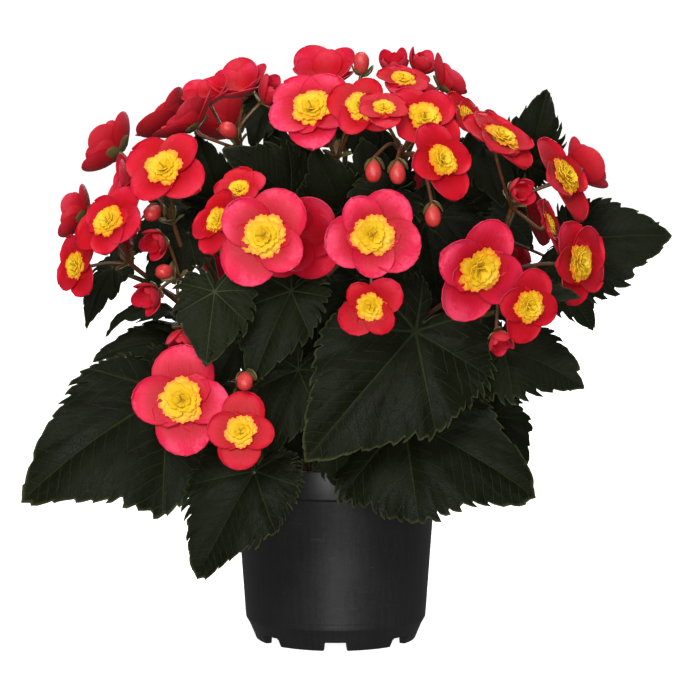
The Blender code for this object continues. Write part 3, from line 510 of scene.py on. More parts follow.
# stem, share of the way up it, junction, tip, width, turn, tilt, skew, arch
# the last 13 are young inner leaves that this model alone has
leaves = [
    ("left", 0.40, (-100, -83, 166), (-190, -105, 102), 108, -20, 20, 0.35, 0.10),
    ("left", 0.60, (-90, -45, 190), (-149, -60, 181), 45, -20, 50, -0.10, 0.14),
    ("left", 0.68, (-102, -35, 211), (-142, -45, 196), 22, -30, 60, 0.10, 0.20),
    ("left", 0.71, (-138, -30, 238), (-154, -40, 201), 24, -30, 10, 0.10, 0.10),
    ("left", 0.50, (-85, 5, 160), (-158, 15, 115), 74, -80, 40, -0.15, 0.14),
    ("front", 0.35, (-48, -130, 125), (-83, -137, 61), 66, -15, 15, -0.08, 0.05),
    ("front", 0.72, (-26, -128, 233), (-50, -142, 177), 50, -10, 15, -0.10, 0.08),
    ("front", 0.84, (-71, -150, 235), (-76, -158, 191), 47, 0, 10, 0.06, 0.05),
    ("front", 0.62, (-22, -110, 184), (-42, -122, 130), 46, -10, 20, 0.10, 0.08),
    ("front_right", 0.80, (48, -120, 208), (-18, -138, 132), 98, 5, 20, 0.12, 0.08),
    ("front_right", 0.50, (42, -95, 150), (121, -112, 106), 92, 15, 18, -0.35, 0.12),
    ("front_right", 0.40, (0, -95, 134), (2, -98, 110), 34, 0, 10, 0.10, 0.05),
    ("front_right", 0.66, (102, -100, 195), (150, -115, 174), 58, 20, 25, -0.25, 0.10),
    ("right", 0.70, (147, -25, 255), (209, -30, 258), 66, 20, 20, -0.30, 0.06),
    ("right", 0.56, (139, -35, 228), (159, -45, 200), 32, 20, 20, 0.10, 0.06),
    ("right", 0.93, (120, -20, 302), (131, -25, 349), 42, 5, 10, 0.08, 0.05),
    ("right", 0.45, (80, 10, 150), (118, 22, 118), 56, 80, 40, 0.12, 0.12),
    ("top", 0.60, (4, -58, 277), (-13, -74, 317), 44, -10, 20, 0.10, 0.08),
    ("top", 0.50, (-28, -60, 284), (-68, -78, 315), 54, -10, 30, -0.10, 0.08),
    ("top", 0.40, (33, -90, 288), (6, -105, 263), 42, 0, 30, 0.10, 0.08),
    ("back_left", 0.55, (-66, 60, 170), (-118, 100, 124), 74, -130, 40, 0.15, 0.14),
    ("back_left", 0.35, (-37, 88, 150), (-57, 149, 96), 68, -165, 35, -0.10, 0.12),
    ("back_right", 0.35, (38, 90, 150), (58, 151, 98), 66, 165, 35, 0.12, 0.12),
    ("back_right", 0.55, (72, 62, 170), (116, 96, 126), 70, 130, 40, -0.12, 0.14),
    ("back_left", 0.76, (-30, 100, 215), (-46, 150, 190), 50, -165, 50, 0.10, 0.12),
    ("back_right", 0.76, (36, 104, 215), (58, 152, 190), 50, 165, 50, -0.10, 0.12),
    ("left", 0.96, (-88, -8, 272), (-126, -20, 244), 50, -30, 40, 0.10, 0.12),
    ("right", 0.62, (92, 4, 272), (124, -4, 246), 48, 30, 40, -0.10, 0.12),
    ("front_right", 0.92, (112, -125, 226), (146, -135, 230), 26, 50, 25, 0.10, 0.10),
    ("left", 0.50, (-70, -13, 278), (-86, -19, 321), 46, -20, 20, 0.10, 0.10),
    ("right", 0.87, (79, -21, 276), (85, -28, 324), 42, 15, 15, 0.10, 0.10),
    ("front_right", 0.75, (63, -51, 223), (55, -59, 268), 46, 5, 10, 0.10, 0.10),
    ("top", 0.39, (25, -48, 285), (16, -53, 321), 42, 0, 15, 0.10, 0.10),
    ("top", 0.74, (-23, -11, 287), (-41, -16, 329), 44, -15, 15, 0.10, 0.10),
    ("front", 0.64, (13, -80, 237), (-9, -90, 191), 42, 0, 15, 0.10, 0.10),
    ("top", 0.69, (32, -21, 284), (27, -27, 328), 42, 5, 15, 0.10, 0.10),
    ("top", 0.48, (45, -29, 253), (59, -34, 293), 38, 10, 15, 0.10, 0.10),
    ("left", 0.62, (-60, -52, 194), (-74, -58, 166), 34, -20, 20, 0.10, 0.10),
    ("front", 0.30, (-24, -85, 142), (-36, -95, 116), 32, -15, 15, 0.10, 0.10),
    ("front", 0.36, (-8, -68, 206), (-20, -78, 176), 32, -15, 15, 0.10, 0.10),
    ("front", 0.40, (-14, -60, 248), (-30, -70, 218), 32, -15, 15, 0.10, 0.10),
    ("front", 0.44, (30, -60, 250), (44, -70, 216), 34, 15, 15, 0.10, 0.10),
    ("right", 0.40, (50, -58, 224), (64, -66, 190), 34, 15, 15, 0.10, 0.10),
    ("left", 0.66, (-90, -64, 262), (-114, -74, 228), 40, -20, 15, 0.10, 0.10),
    ("top", 0.80, (-40, -16, 344), (-52, -26, 310), 32, -15, 15, 0.10, 0.10),
    ("top", 0.66, (10, -28, 336), (18, -36, 300), 34, 15, 15, 0.10, 0.10),
    ("right", 0.50, (84, -50, 216), (100, -56, 186), 32, 15, 15, 0.10, 0.10),
    ("right", 0.28, (98, -36, 146), (118, -44, 112), 36, 15, 15, 0.10, 0.10),
    ("right", 0.62, (64, -40, 270), (92, -50, 234), 44, 15, 20, 0.10, 0.10),
    ("right", 0.84, (88, -26, 312), (104, -34, 276), 38, 15, 15, 0.10, 0.10),
]

# stem, share of the way up it, hub, blooms of (place, width, turn, tilt, opening), buds of (place, turn, tilt)
sprays = {
    "top_front": ("top", 1.00, (1, -46, 306), [
        ((-14, -70, 337), 56, -8, 38, 1.0),
        ((16, -85, 340), 44, -5, 25, 1.0),
        ((-6, -27, 354), 44, -10, 60, 0.6),
    ], [
        ((16, -45, 360), 0, 80),
    ]),
    "top_right": ("top", 0.90, (40, -80, 312), [
        ((29, -105, 339), 34, 10, 55, 1.0),
        ((53, -95, 333), 48, 18, 32, 1.0),
        ((62, -128, 310), 47, 35, 25, 1.0),
    ], [
        ((23, -112, 310), 0, -80),
        ((37, -114, 309), 20, -80),
        ((58, -122, 284), 20, -80),
    ]),
    "top_rear": ("top", 0.95, (50, -38, 322), [
        ((41, -60, 354), 36, 20, 60, 1.0),
        ((78, -68, 333), 36, 60, 30, 1.0),
        ((38, -16, 358), 28, -20, 60, 0.4),
        ((51, -9, 358), 28, 60, 60, 0.4),
        ((65, -23, 350), 36, 100, 35, 0.5),
    ], []),
    "top_left": ("top", 0.80, (-58, -42, 312), [
        ((-86, -53, 326), 44, -100, 50, 0.6),
        ((-78, -26, 341), 34, -35, 60, 0.62),
        ((-58, -17, 346), 42, -30, 60, 0.5),
        ((-45, -44, 342), 32, 70, 40, 0.35),
    ], [
        ((-62, -52, 322), -40, 30),
    ]),
    "right_upper": ("right", 1.00, (108, -62, 278), [
        ((99, -87, 320), 50, 50, 52, 1.0),
        ((137, -70, 296), 55, 60, 29, 1.0),
        ((148, -33, 297), 40, 120, 30, 0.6),
        ((127, -90, 269), 36, 75, 20, 0.9),
        ((108, -106, 292), 24, 30, 0, 0.2),
    ], []),
    "right_lower": ("front_right", 1.00, (92, -100, 238), [
        ((145, -92, 247), 52, 50, 6, 1.0),
        ((84, -147, 249), 62, 22, -10, 1.0),
        ((113, -158, 228), 44, 26, -5, 1.0),
        ((97, -132, 209), 24, 20, -50, 0.2),
    ], []),
    "centre": ("front", 1.00, (12, -110, 258), [
        ((22, -155, 269), 57, 10, 5, 1.0),
        ((21, -162, 228), 40, 0, -8, 1.0),
    ], []),
    "left_centre": ("front", 0.92, (-44, -104, 256), [
        ((-41, -152, 268), 60, -8, 8, 1.0),
        ((-25, -115, 266), 56, 5, 0, 0.62),
        ((-68, -129, 274), 41, -50, 28, 1.0),
        ((-57, -108, 291), 34, -20, 45, 0.9),
    ], []),
    "left": ("left", 1.00, (-98, -76, 268), [
        ((-101, -112, 304), 54, -18, 32, 1.0),
        ((-123, -81, 293), 36, -80, 12, 0.6),
        ((-133, -48, 311), 42, -120, 30, 0.6),
    ], [
        ((-107, -95, 280), -30, -20),
    ]),
    "far_left": ("left", 0.92, (-124, -74, 244), [
        ((-134, -112, 272), 48, -38, 30, 1.0),
        ((-155, -82, 244), 42, -50, 8, 1.0),
        ((-153, -57, 273), 34, -115, 15, 0.6),
    ], []),
    "left_buds": ("left", 0.84, (-94, -88, 236), [
        ((-105, -101, 263), 26, -30, -20, 0.3),
        ((-108, -97, 230), 28, -40, -20, 0.3),
        ((-92, -118, 209), 24, -10, -60, 0.25),
    ], [
        ((-100, -112, 244), -20, 0),
    ]),
    "lower_left": ("front", 0.50, (-58, -120, 166), [
        ((-90, -142, 169), 64, -8, 12, 1.0),
        ((-55, -158, 153), 44, -5, 12, 1.0),
    ], [
        ((-53, -152, 186), 0, -30),
    ]),
}


def direction(turn, tilt):
    turn, tilt = math.radians(turn), math.radians(tilt)
    return Vector((math.sin(turn) * math.cos(tilt), -math.cos(turn) * math.cos(tilt), math.sin(tilt)))


def metres(place):
    return Vector([value / 1000 for value in place])


def axesAt(origin, along, facing):
    # X along, Z as near as it can be to the facing
    xAxis = along.normalized()
    zAxis = (facing - xAxis * facing.dot(xAxis)).normalized()
    axes = Matrix((xAxis, zAxis.cross(xAxis), zAxis)).transposed().to_4x4()
    return Matrix.Translation(origin) @ axes


def bezier(start, startPull, endPull, end, steps):
    points = []
    for index in range(steps + 1):
        t = index / steps
        point = start * (1 - t) ** 3 + startPull * 3 * t * (1 - t) ** 2
        points.append(point + endPull * 3 * t ** 2 * (1 - t) + end * t ** 3)
    return points


stemSizes = {
    "soilTop": 0.104, "depth": 0.018, "collar": 0.006, "footRadius": 0.0042, "topRadius": 0.0026,
    "steps": 5,
}


def stemPath(name):
    foot, top = map(metres, stems[name])
    collar = Vector((*foot, stemSizes["soilTop"] + stemSizes["collar"]))
    rise = Vector((0, 0, (top.z - collar.z) * 0.55))
    bend = bezier(collar, collar + rise, top - (top - collar - rise) * 0.45, top, stemSizes["steps"])
    return [Vector((*foot, stemSizes["soilTop"] - stemSizes["depth"]))] + bend


def onStem(name, share):
    # place, direction and radius at a share of the way up a stem above the soil
    path = stemPath(name)
    position = share * stemSizes["steps"] + 1
    index = min(int(position), stemSizes["steps"])
    along = path[index + 1] - path[index]
    taper = position / (stemSizes["steps"] + 1)
    radius = stemSizes["footRadius"] + (stemSizes["topRadius"] - stemSizes["footRadius"]) * taper
    return path[index] + along * (position - index), along.normalized(), radius


for sprayName, (stem, root, hub, blooms, buds) in sprays.items():
    blooms = [(metres(place), width / 1000, *aim) for place, width, *aim in blooms]
    buds = [(metres(place), *aim) for place, *aim in buds]
    sprays[sprayName] = (stem, root, metres(hub), blooms, buds)

# the rear ones in metres
rearSprays = {
    "stems": {105: "right", 143: "back_right", 181: "back_right", 219: "back_left", 257: "left"},
    "spots": ((-10, 0.146, 0.238, 5, 1.0), (10, 0.138, 0.274, 22, 1.0), (0, 0.104, 0.318, 45, 0.62)),
    "root": 0.82, "hubReach": 0.098, "hubHeight": 0.250, "width": 0.049, "seed": 7,
}
shifts = random.Random(rearSprays["seed"])
for number, (bearing, stem) in enumerate(rearSprays["stems"].items()):
    blooms = []
    for spread, reach, height, tilt, opening in rearSprays["spots"]:
        turn = bearing + spread + shifts.uniform(-2, 2)
        reach += shifts.uniform(-0.006, 0.006)
        height += shifts.uniform(-0.008, 0.008)
        width = rearSprays["width"] + shifts.uniform(-0.008, 0.003)
        blooms.append((direction(turn, 0) * reach + Vector((0, 0, height)), width, turn, tilt, opening))
    hub = direction(bearing, 0) * rearSprays["hubReach"] + Vector((0, 0, rearSprays["hubHeight"]))
    sprays[f"rear_{number + 1}"] = (stem, rearSprays["root"], hub, blooms, [])


# every stem, leaf stalk and flower stalk follows a path with a width at each point
def makeStalkTree():
    given = geometryTree("Stalks", {"Step": 0.003, "Sides": 8, "Waver": 0.0002, "Skin": "Material"})
    curve = geo("MeshToCurve", {"Mesh": given["Geometry"]})
    width = geo("InputNamedAttribute", {"Name": "width"}, data_type="FLOAT")
    curve = geo("SetCurveRadius", {"Curve": curve, "Radius": width})
    curve = geo("CurveSplineType", {"Curve": curve}, spline_type="CATMULL_ROM")
    sampled = geo("ResampleCurve", {"Curve": curve, "Length": given["Step"]}, mode="LENGTH")
    along = geo("InputPosition")
    uneven = out("ShaderNodeTexNoise", {"Vector": along, "Scale": 90.0}, output=1)
    shift = out("ShaderNodeVectorMath", {0: uneven, 1: (0.5, 0.5, 0.5)}, operation="SUBTRACT")
    offset = scaled(shift, given["Waver"] * 2.0)
    moved = geo("SetPosition", {"Geometry": sampled, "Offset": offset})
    ring = geo("CurvePrimitiveCircle", {"Resolution": given["Sides"], "Radius": 1.0})
    radius = geo("InputRadius")
    values = {"Curve": moved, "Profile Curve": ring, "Scale": radius, "Fill Caps": True}
    return endTree(geo("CurveToMesh", values), given["Skin"])


def pathsMesh(paths):
    # one mesh of open paths, each a list of (place, width)
    mesh = bpy.data.meshes.new("paths")
    points, edges, widths = [], [], []
    for path in paths:
        first = len(points)
        points += [place for place, _ in path]
        widths += [width for _, width in path]
        edges += [(index, index + 1) for index in range(first, first + len(path) - 1)]
    mesh.from_pydata(points, edges, [])
    attribute = mesh.attributes.new("width", "FLOAT", "POINT")
    attribute.data.foreach_set("value", widths)
    return mesh


def tapered(points, start, end):
    last = len(points) - 1
    return [(point, start + (end - start) * index / last) for index, point in enumerate(points)]


stalkTree = makeStalkTree()


def stalkMesh(paths, skin, step=0.003, sides=8):
    return grown(stalkTree, {"Skin": materials[skin], "Step": step, "Sides": sides}, pathsMesh(paths))


potSizes = {
    "height": 0.115, "rim": 0.065, "rimDepth": 0.0185, "wallTop": 0.063, "wallFoot": 0.057,
    "footHeight": 0.014, "chamfer": (0.0545, 0.0096), "footOuter": 0.0505, "footInner": 0.0465,
    "underside": 0.0065, "floor": 0.0015, "boss": 0.012, "wall": 0.0016, "around": 168, "round": 0.0006,
    "ridge": 0.0035, "notches": 7, "notchHeight": 0.0057, "notchWidth": 0.017, "notchRound": 0.0007,
    "smoothBelow": math.radians(35),
}


def roundedProfile(points, radius, steps=3):
    # each corner of the profile becomes a small arc
    result = [points[0]]
    for before, corner, after in zip(points, points[1:], points[2:]):
        corner, before, after = Vector(corner), Vector(before), Vector(after)
        reach = min(radius, (before - corner).length * 0.4, (after - corner).length * 0.4)
        start = corner + (before - corner).normalized() * reach
        end = corner + (after - corner).normalized() * reach
        for step in range(steps + 1):
            t = step / steps
            result.append(tuple(start * (1 - t) ** 2 + corner * 2 * t * (1 - t) + end * t ** 2))
    return result + [points[-1]]


def latheMesh(name, profile, around):
    bm = bmesh.new()
    points = [bm.verts.new((radius, 0.0, height)) for radius, height in profile]
    edges = [bm.edges.new(pair) for pair in zip(points, points[1:])]
    bmesh.ops.spin(
        bm, geom=points + edges, axis=(0, 0, 1), cent=(0, 0, 0), steps=around, angle=2 * math.pi,
        use_merge=True)
    bmesh.ops.remove_doubles(bm, verts=bm.verts, dist=0.000005)
    bmesh.ops.recalc_face_normals(bm, faces=bm.faces)
    mesh = bpy.data.meshes.new(name)
    bm.to_mesh(mesh)
    bm.free()
    return mesh


def innerWall(height, sizes):
    foot, bandFoot = sizes["footHeight"], sizes["height"] - sizes["rimDepth"]
    if height <= foot:
        low, high = sizes["chamfer"], (sizes["wallFoot"], foot)
    else:
        low, high = (sizes["wallFoot"], foot), (sizes["wallTop"], bandFoot)
    return low[0] + (high[0] - low[0]) * (height - low[1]) / (high[1] - low[1]) - sizes["wall"]


def makePot(sizes):
    height, foot, inner = sizes["height"], sizes["footHeight"], sizes["rim"] - sizes["wall"]
    bandFoot, floorTop = height - sizes["rimDepth"], sizes["underside"] + sizes["floor"]
    ridge = foot + sizes["ridge"]
    ridgeRadius = innerWall(ridge, sizes) + sizes["wall"]
    outside = [
        (inner, height), (sizes["rim"], height), (sizes["rim"], bandFoot + 0.0007),
        (sizes["wallTop"], bandFoot), (ridgeRadius + 0.0001, ridge + 0.0006), (ridgeRadius, ridge),
        (sizes["wallFoot"], foot), sizes["chamfer"], (sizes["footOuter"], 0.0),
        (sizes["footInner"], 0.0), (sizes["footInner"], sizes["underside"]),
        (sizes["boss"], sizes["underside"]), (sizes["boss"], 0.0), (0.0, 0.0)]
    inside = [
        (0.0, floorTop), (innerWall(floorTop, sizes), floorTop), (innerWall(foot, sizes), foot),
        (innerWall(bandFoot, sizes), bandFoot), (inner, bandFoot + 0.0012), (inner, height)]
    outside = roundedProfile(outside, sizes["round"])
    inside = roundedProfile(inside, sizes["round"])
    mesh = latheMesh("potShell", outside + inside[:-1] + [outside[0]], sizes["around"])
    pot = bpy.data.objects.new("pot_fine", mesh)
    scene.collection.objects.link(pot)
    cutters = []
    for index in range(sizes["notches"]):
        bm = bmesh.new()
        bmesh.ops.create_cube(bm, size=1.0)
        for corner in bm.verts:
            outer, raised = corner.co.y < 0, corner.co.z > 0
            width = sizes["notchWidth"] * (1.3 if outer else 0.8) * (0.85 if raised else 1.0)
            corner.co.x = math.copysign(width / 2, corner.co.x)
            corner.co.y = -(sizes["wallFoot"] + 0.004) if outer else -(sizes["footInner"] - 0.003)
            corner.co.z = sizes["notchHeight"] if raised else -0.003
        upright = [edge for edge in bm.edges if all(vert.co.z > 0 for vert in edge.verts)]
        bmesh.ops.bevel(bm, geom=upright, offset=sizes["notchRound"], segments=2, affect="EDGES")
        turned = Matrix.Rotation(2 * math.pi * index / sizes["notches"], 3, "Z")
        bmesh.ops.rotate(bm, verts=bm.verts, matrix=turned)
        cutterMesh = bpy.data.meshes.new("notch")
        bm.to_mesh(cutterMesh)
        bm.free()
        cutter = bpy.data.objects.new("notch", cutterMesh)
        scene.collection.objects.link(cutter)
        cut = pot.modifiers.new("Notch", "BOOLEAN")
        cut.operation = "DIFFERENCE"
        cut.object = cutter
        cutters.append(cutter)
    graph = bpy.context.evaluated_depsgraph_get()
    settled = bpy.data.meshes.new_from_object(pot.evaluated_get(graph))
    pot.modifiers.clear()
    pot.data = settled
    for cutter in cutters:
        bpy.data.objects.remove(cutter)
    settled.shade_smooth()
    settled.set_sharp_from_angle(angle=sizes["smoothBelow"])
    settled.materials.clear()
    settled.materials.append(makePotMaterial(potLook))
    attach(pot, "root")
    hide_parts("pot")


potLook = {
    "dark": (0.0065, 0.0065, 0.0067), "light": (0.0100, 0.0100, 0.0102), "scuffed": (0.045, 0.044, 0.042),
    "roughness": 0.36,
}


def makePotMaterial(look):
    material = newMaterial("mouldedPlastic", 0.42, Specular_IOR_Level=0.60)
    coordinates = objectCoordinates()
    grain = noiseOf(coordinates, 2600.0, 2.0)
    x, y, z = axesOf(coordinates)
    around = y.math("ARCTAN2", x)
    flow = noiseOf(vectorOf(cosineOf(around) * 9.0, sineOf(around) * 9.0, z * 14.0), 3.0, 4.0)
    scuffs = noiseOf(vectorOf(x * 60.0, y * 60.0, z * 500.0), 1.0, 5.0, 0.7).ramp(0.60, 0.74)
    dust = mottleOf(30.0, 600.0, 0.6)
    colour = colourMix(flow.ramp(0.35, 0.7), look["dark"], look["light"])
    colour = colourMix(scuffs * 0.35 + dust * 0.10, colour, look["scuffed"])
    roughness = dust * 0.10 + scuffs * 0.08 + look["roughness"]
    return finish(material, colour, roughness, grain * 0.4 + flow * 0.6, 0.10, 0.0004)


makePot(potSizes)

soilSizes = {
    "top": 0.104, "crown": 0.0025, "gap": 0.0003, "crumb": 0.0014, "crumbsPerSquareMetre": 42000.0,
    "rough": 0.0022,
}


def makeSoilTree(sizes):
    # the soil's skin is roughened on top and strewn with crumbs
    given = geometryTree("SoilCrumbs", {
        "Roughness": sizes["rough"], "Crumb": sizes["crumb"], "Top": sizes["top"], "Edge": 0.060,
        "Skin": "Material"})
    place = geo("InputPosition")
    x, y, z = axesOf(place)
    withinEdge = ((x * x + y * y) ** 0.5).ramp(given["Edge"] * 0.93, given["Edge"], 1.0, 0.0)
    onTop = z.math("GREATER_THAN", given["Top"] - 0.004) * withinEdge
    lumps = noiseOf(place, 240.0, 4.0, 0.7) - 0.55
    raised = vectorOf(0.0, 0.0, lumps * given["Roughness"] * onTop * 2.0)
    moved = geo("SetPosition", {"Geometry": given["Geometry"], "Offset": raised})
    grains = geo("MeshIcoSphere", {"Radius": 1.0, "Subdivisions": 1})
    chosen = onTop.math("GREATER_THAN", 0.5)
    values = {"Mesh": moved, "Selection": chosen, "Density": sizes["crumbsPerSquareMetre"], "Seed": 5}
    points = geo("DistributePointsOnFaces", values)
    size = randomOf("FLOAT_VECTOR", {"Seed": 3}, (0.25, 0.25, 0.2), (1.2, 0.8, 0.7))
    turn = randomOf("FLOAT_VECTOR", {"Seed": 4}, (0.0, 0.0, 0.0), (6.28, 6.28, 6.28))
    size = scaled(size, given["Crumb"])
    strewn = geo("InstanceOnPoints", {"Points": points, "Instance": grains, "Scale": size, "Rotation": turn})
    return endTree(joinedOf(moved, strewn), given["Skin"])


soilLook = {"damp": (0.012, 0.008, 0.005), "dry": (0.050, 0.032, 0.020), "fibre": (0.150, 0.100, 0.060)}


def makeSoilMaterial(look):
    material = newMaterial("pottingSoil", 0.9, Specular_IOR_Level=0.2)
    mottle = mottleOf(120.0, 900.0)
    fibres = noiseOf(objectCoordinates(), 700.0, 5.0, 0.7).ramp(0.58, 0.70)
    colour = colourMix(mottle, look["damp"], look["dry"])
    colour = colourMix(fibres * 0.4, colour, look["fibre"])
    return finish(material, colour, between(mottle, 0.8, 1.0), mottle + fibres * 0.5, 0.6, 0.0012)


def makeSoil(sizes, pot):
    bandFoot, foot = pot["height"] - pot["rimDepth"], pot["footHeight"]
    base = pot["underside"] + pot["floor"] + sizes["gap"]
    edge = pot["rim"] - pot["wall"] - sizes["gap"]
    shares = [step / 24 for step in range(25)]
    crown = [(edge * t, sizes["top"] + sizes["crown"] * (1 - t * 1.2)) for t in shares]
    crown[-1] = (edge, sizes["top"] - 0.0015)
    side = [
        (edge, bandFoot + 0.0012), (innerWall(bandFoot, pot) - sizes["gap"], bandFoot),
        (innerWall(foot, pot) - sizes["gap"], foot), (innerWall(base, pot) - sizes["gap"], base), (0.0, base)]
    values = {"Edge": edge, "Skin": makeSoilMaterial(soilLook)}
    soil = grown(makeSoilTree(sizes), values, latheMesh("soilBody", crown + side, 96))
    joinedPiece("soil_fine", [soil], "potting_soil", "soil")


makeSoil(soilSizes, potSizes)
print("pot and soil made")


leafSizes = {
    "lobe": 0.40, "point": 0.60, "pointSpread": math.radians(36), "naturalWidth": 0.92,
    "fold": 0.10, "droop": 0.13, "wave": 0.022, "veinSpacing": 0.873,
    "toothDepth": 0.0024, "toothSteps": 6.0, "toothLean": 2.3, "lobing": 0.040, "ragged": 0.16,
    "swell": 0.014, "frill": 0.016, "rough": 0.06, "thickness": 0.0007,
    "stalkRoot": 0.0019, "stalkTip": 0.0013,
}


def makeLeafTree(sizes):
    given = geometryTree("LeafBlade", {
        "Length": 0.08, "Width": 0.06, "Arch": 0.1, "Skew": 0.1, "Phase": 0.0,
        "Tooth Depth": sizes["toothDepth"], "Edge Points": 145, "Rings": 9,
        "Thickness": sizes["thickness"], "Tone": 0.3, "Upper": "Material", "Under": "Material"})
    grid, around, share = flatSheet(given["Edge Points"], given["Rings"])
    share = share ** 0.8
    spaces = given["Edge Points"] - 1.0
    turned = (0.5 - around) * (2 * math.pi)
    off = turned.math("ABSOLUTE")
    lobe = (sineOf(turned) * given["Skew"] + 1.0) * (1.0 - (off / math.pi) ** 8.0 * 0.85) * sizes["lobe"]
    point = (off / -sizes["pointSpread"]).math("EXPONENT") * sizes["point"]
    # teeth of uneven depth, six grid steps each, that lean towards the tip, on lobes that end the main veins
    toothTurn = around * spaces / sizes["toothSteps"]
    toothNumber = (toothTurn + 0.5).math("FLOOR") + given["Phase"] * 31.0
    chance = out("ShaderNodeTexWhiteNoise", {"W": toothNumber}, noise_dimensions="1D")
    tooth = cosineOf(toothTurn * (2 * math.pi)) * (chance * 1.5 + 0.25)
    blunt = off.ramp(0.0, 0.10)
    outer = share ** 5.0
    lobing = cosineOf(turned * (2 * math.pi / sizes["veinSpacing"])) * sizes["lobing"]
    depth = given["Tooth Depth"] / given["Length"]
    circle = vectorOf(cosineOf(turned) * 3.0, sineOf(turned) * 3.0, given["Phase"])
    ragged = (noiseOf(circle, 2.4, 3.0, 0.7) - 0.5) * sizes["ragged"]
    reach = ((lobe + point) * ((lobing + ragged) * blunt * outer + 1.0) + tooth * depth * blunt * outer) * share
    lean = turned.math("SIGN") * tooth.math("MAXIMUM", 0.0) * outer * blunt
    lean = lean * (2 * math.pi * sizes["toothLean"]) / spaces
    angle = turned - lean
    along = reach * cosineOf(angle)
    flatY = reach * sineOf(angle)
    stretch = given["Width"] / (given["Length"] * sizes["naturalWidth"])
    y = flatY * stretch
    across = y * 2.0 * given["Length"] / given["Width"]
    bow = along * (1.0 - along) * given["Arch"] * 4.0
    halves = across.math("ABSOLUTE") * sizes["fold"] - across * across * sizes["droop"]
    outward = ((along * along + across * across) ** 0.5 / 0.6).math("MINIMUM", 1.0)
    waves = sineOf(y.math("ARCTAN2", along) * 5.0 + given["Phase"]) * outward * outward * sizes["wave"]
    # the blade swells between its main veins, and its edge is frilled
    sector = angle - (angle / sizes["veinSpacing"]).math("ROUND") * sizes["veinSpacing"]
    beside = (sineOf(sector) * reach).math("ABSOLUTE")
    swell = (1.0 - (beside * beside * -500.0).math("EXPONENT")) * sizes["swell"]
    frill = sineOf(angle * 13.0 + given["Phase"] * 2.0) * share ** 4.0 * sizes["frill"]
    uneven = noiseOf(vectorOf(along, flatY, given["Phase"]), 9.0, 2.0) - 0.5
    rough = uneven * sizes["rough"] * share
    height = bow + halves + waves + swell + frill + rough
    place = vectorOf(along * given["Length"], y * given["Length"], height * given["Length"])
    sheet = storeOn(grid, "leafPlace", "FLOAT_VECTOR", vectorOf(along, flatY, share))
    sheet = storeOn(sheet, "tone", "FLOAT", given["Tone"])
    sheet = bent(sheet, place)
    blade = thickened(sheet, given["Thickness"], given["Upper"], given["Under"])
    return endTree(blade)


leafTree = makeLeafTree(leafSizes)


def leafMesh(index, junction, tip, width, turn, tilt, skew, arch):
    chord = tip - junction
    length = chord.length
    # edge points and rings by the leaf's length; six points to a tooth, and one more
    points, rings = (361, 11) if length > 0.07 else (205, 9) if length > 0.045 else (127, 7)
    values = {
        "Length": length, "Width": width, "Arch": arch, "Skew": skew, "Phase": float(index),
        "Edge Points": points, "Rings": rings, "Tone": leafTones.get(index, 0.25),
        "Upper": materials["leaf"], "Under": materials["leafUnder"]}
    placing = axesAt(junction, chord, direction(turn, tilt))
    return placed(grown(leafTree, values), placing), placing.to_3x3() @ Vector((0, 0, 1))


# younger leaves are greener, by their row in the table
leafTones = {6: 0.45, 7: 0.95, 8: 0.5, 2: 0.6, 3: 0.6, 14: 0.5, 11: 0.6}

leafCount = 0
for stemName in stems:
    path = stemPath(stemName)
    stalks = [tapered(path, stemSizes["footRadius"], stemSizes["topRadius"])]
    meshes = []
    for index, (stem, root, junction, tip, width, turn, tilt, skew, arch) in enumerate(leaves):
        if stem != stemName:
            continue
        junction, tip = metres(junction), metres(tip)
        mesh, facing = leafMesh(index, junction, tip, width / 1000, turn, tilt, skew, arch)
        meshes.append(mesh)
        start = onStem(stem, root)[0]
        collar = junction - facing * 0.004
        reach = (collar - start).length
        outward = Vector((junction.x - start.x, junction.y - start.y, 0.25 * reach)).normalized()
        leaning = (tip - junction).normalized()
        stalk = bezier(
            start, start + outward * reach * 0.35 + Vector((0, 0, reach * 0.15)),
            collar - facing * reach * 0.22 - leaning * reach * 0.12, collar, 2)
        stalk.append(junction + facing * 0.0003)
        stalks.append(tapered(stalk, leafSizes["stalkRoot"], leafSizes["stalkTip"]))
        leafCount += 1
    meshes.append(stalkMesh(stalks, "stem"))
    joinedPiece("leafy_stem_fine_" + stemName, meshes, "leaf_and_stem", "leafy_stem_" + stemName)
print("leafy stems made:", len(stems), "with", leafCount, "leaves")


bloomSizes = {
    "outerHalf": 1.05, "sidePetal": (0.89, 0.92), "layer": 0.030, "dish": 0.10, "reach": 1.13,
    "innerHalf": 0.80, "innerShare": 0.60, "innerLift": 0.095, "outerDrop": 0.09, "thickness": 0.0006,
    "large": 0.043, "pink": 0.0555, "openEnough": 0.65, "shut": 0.45,
}


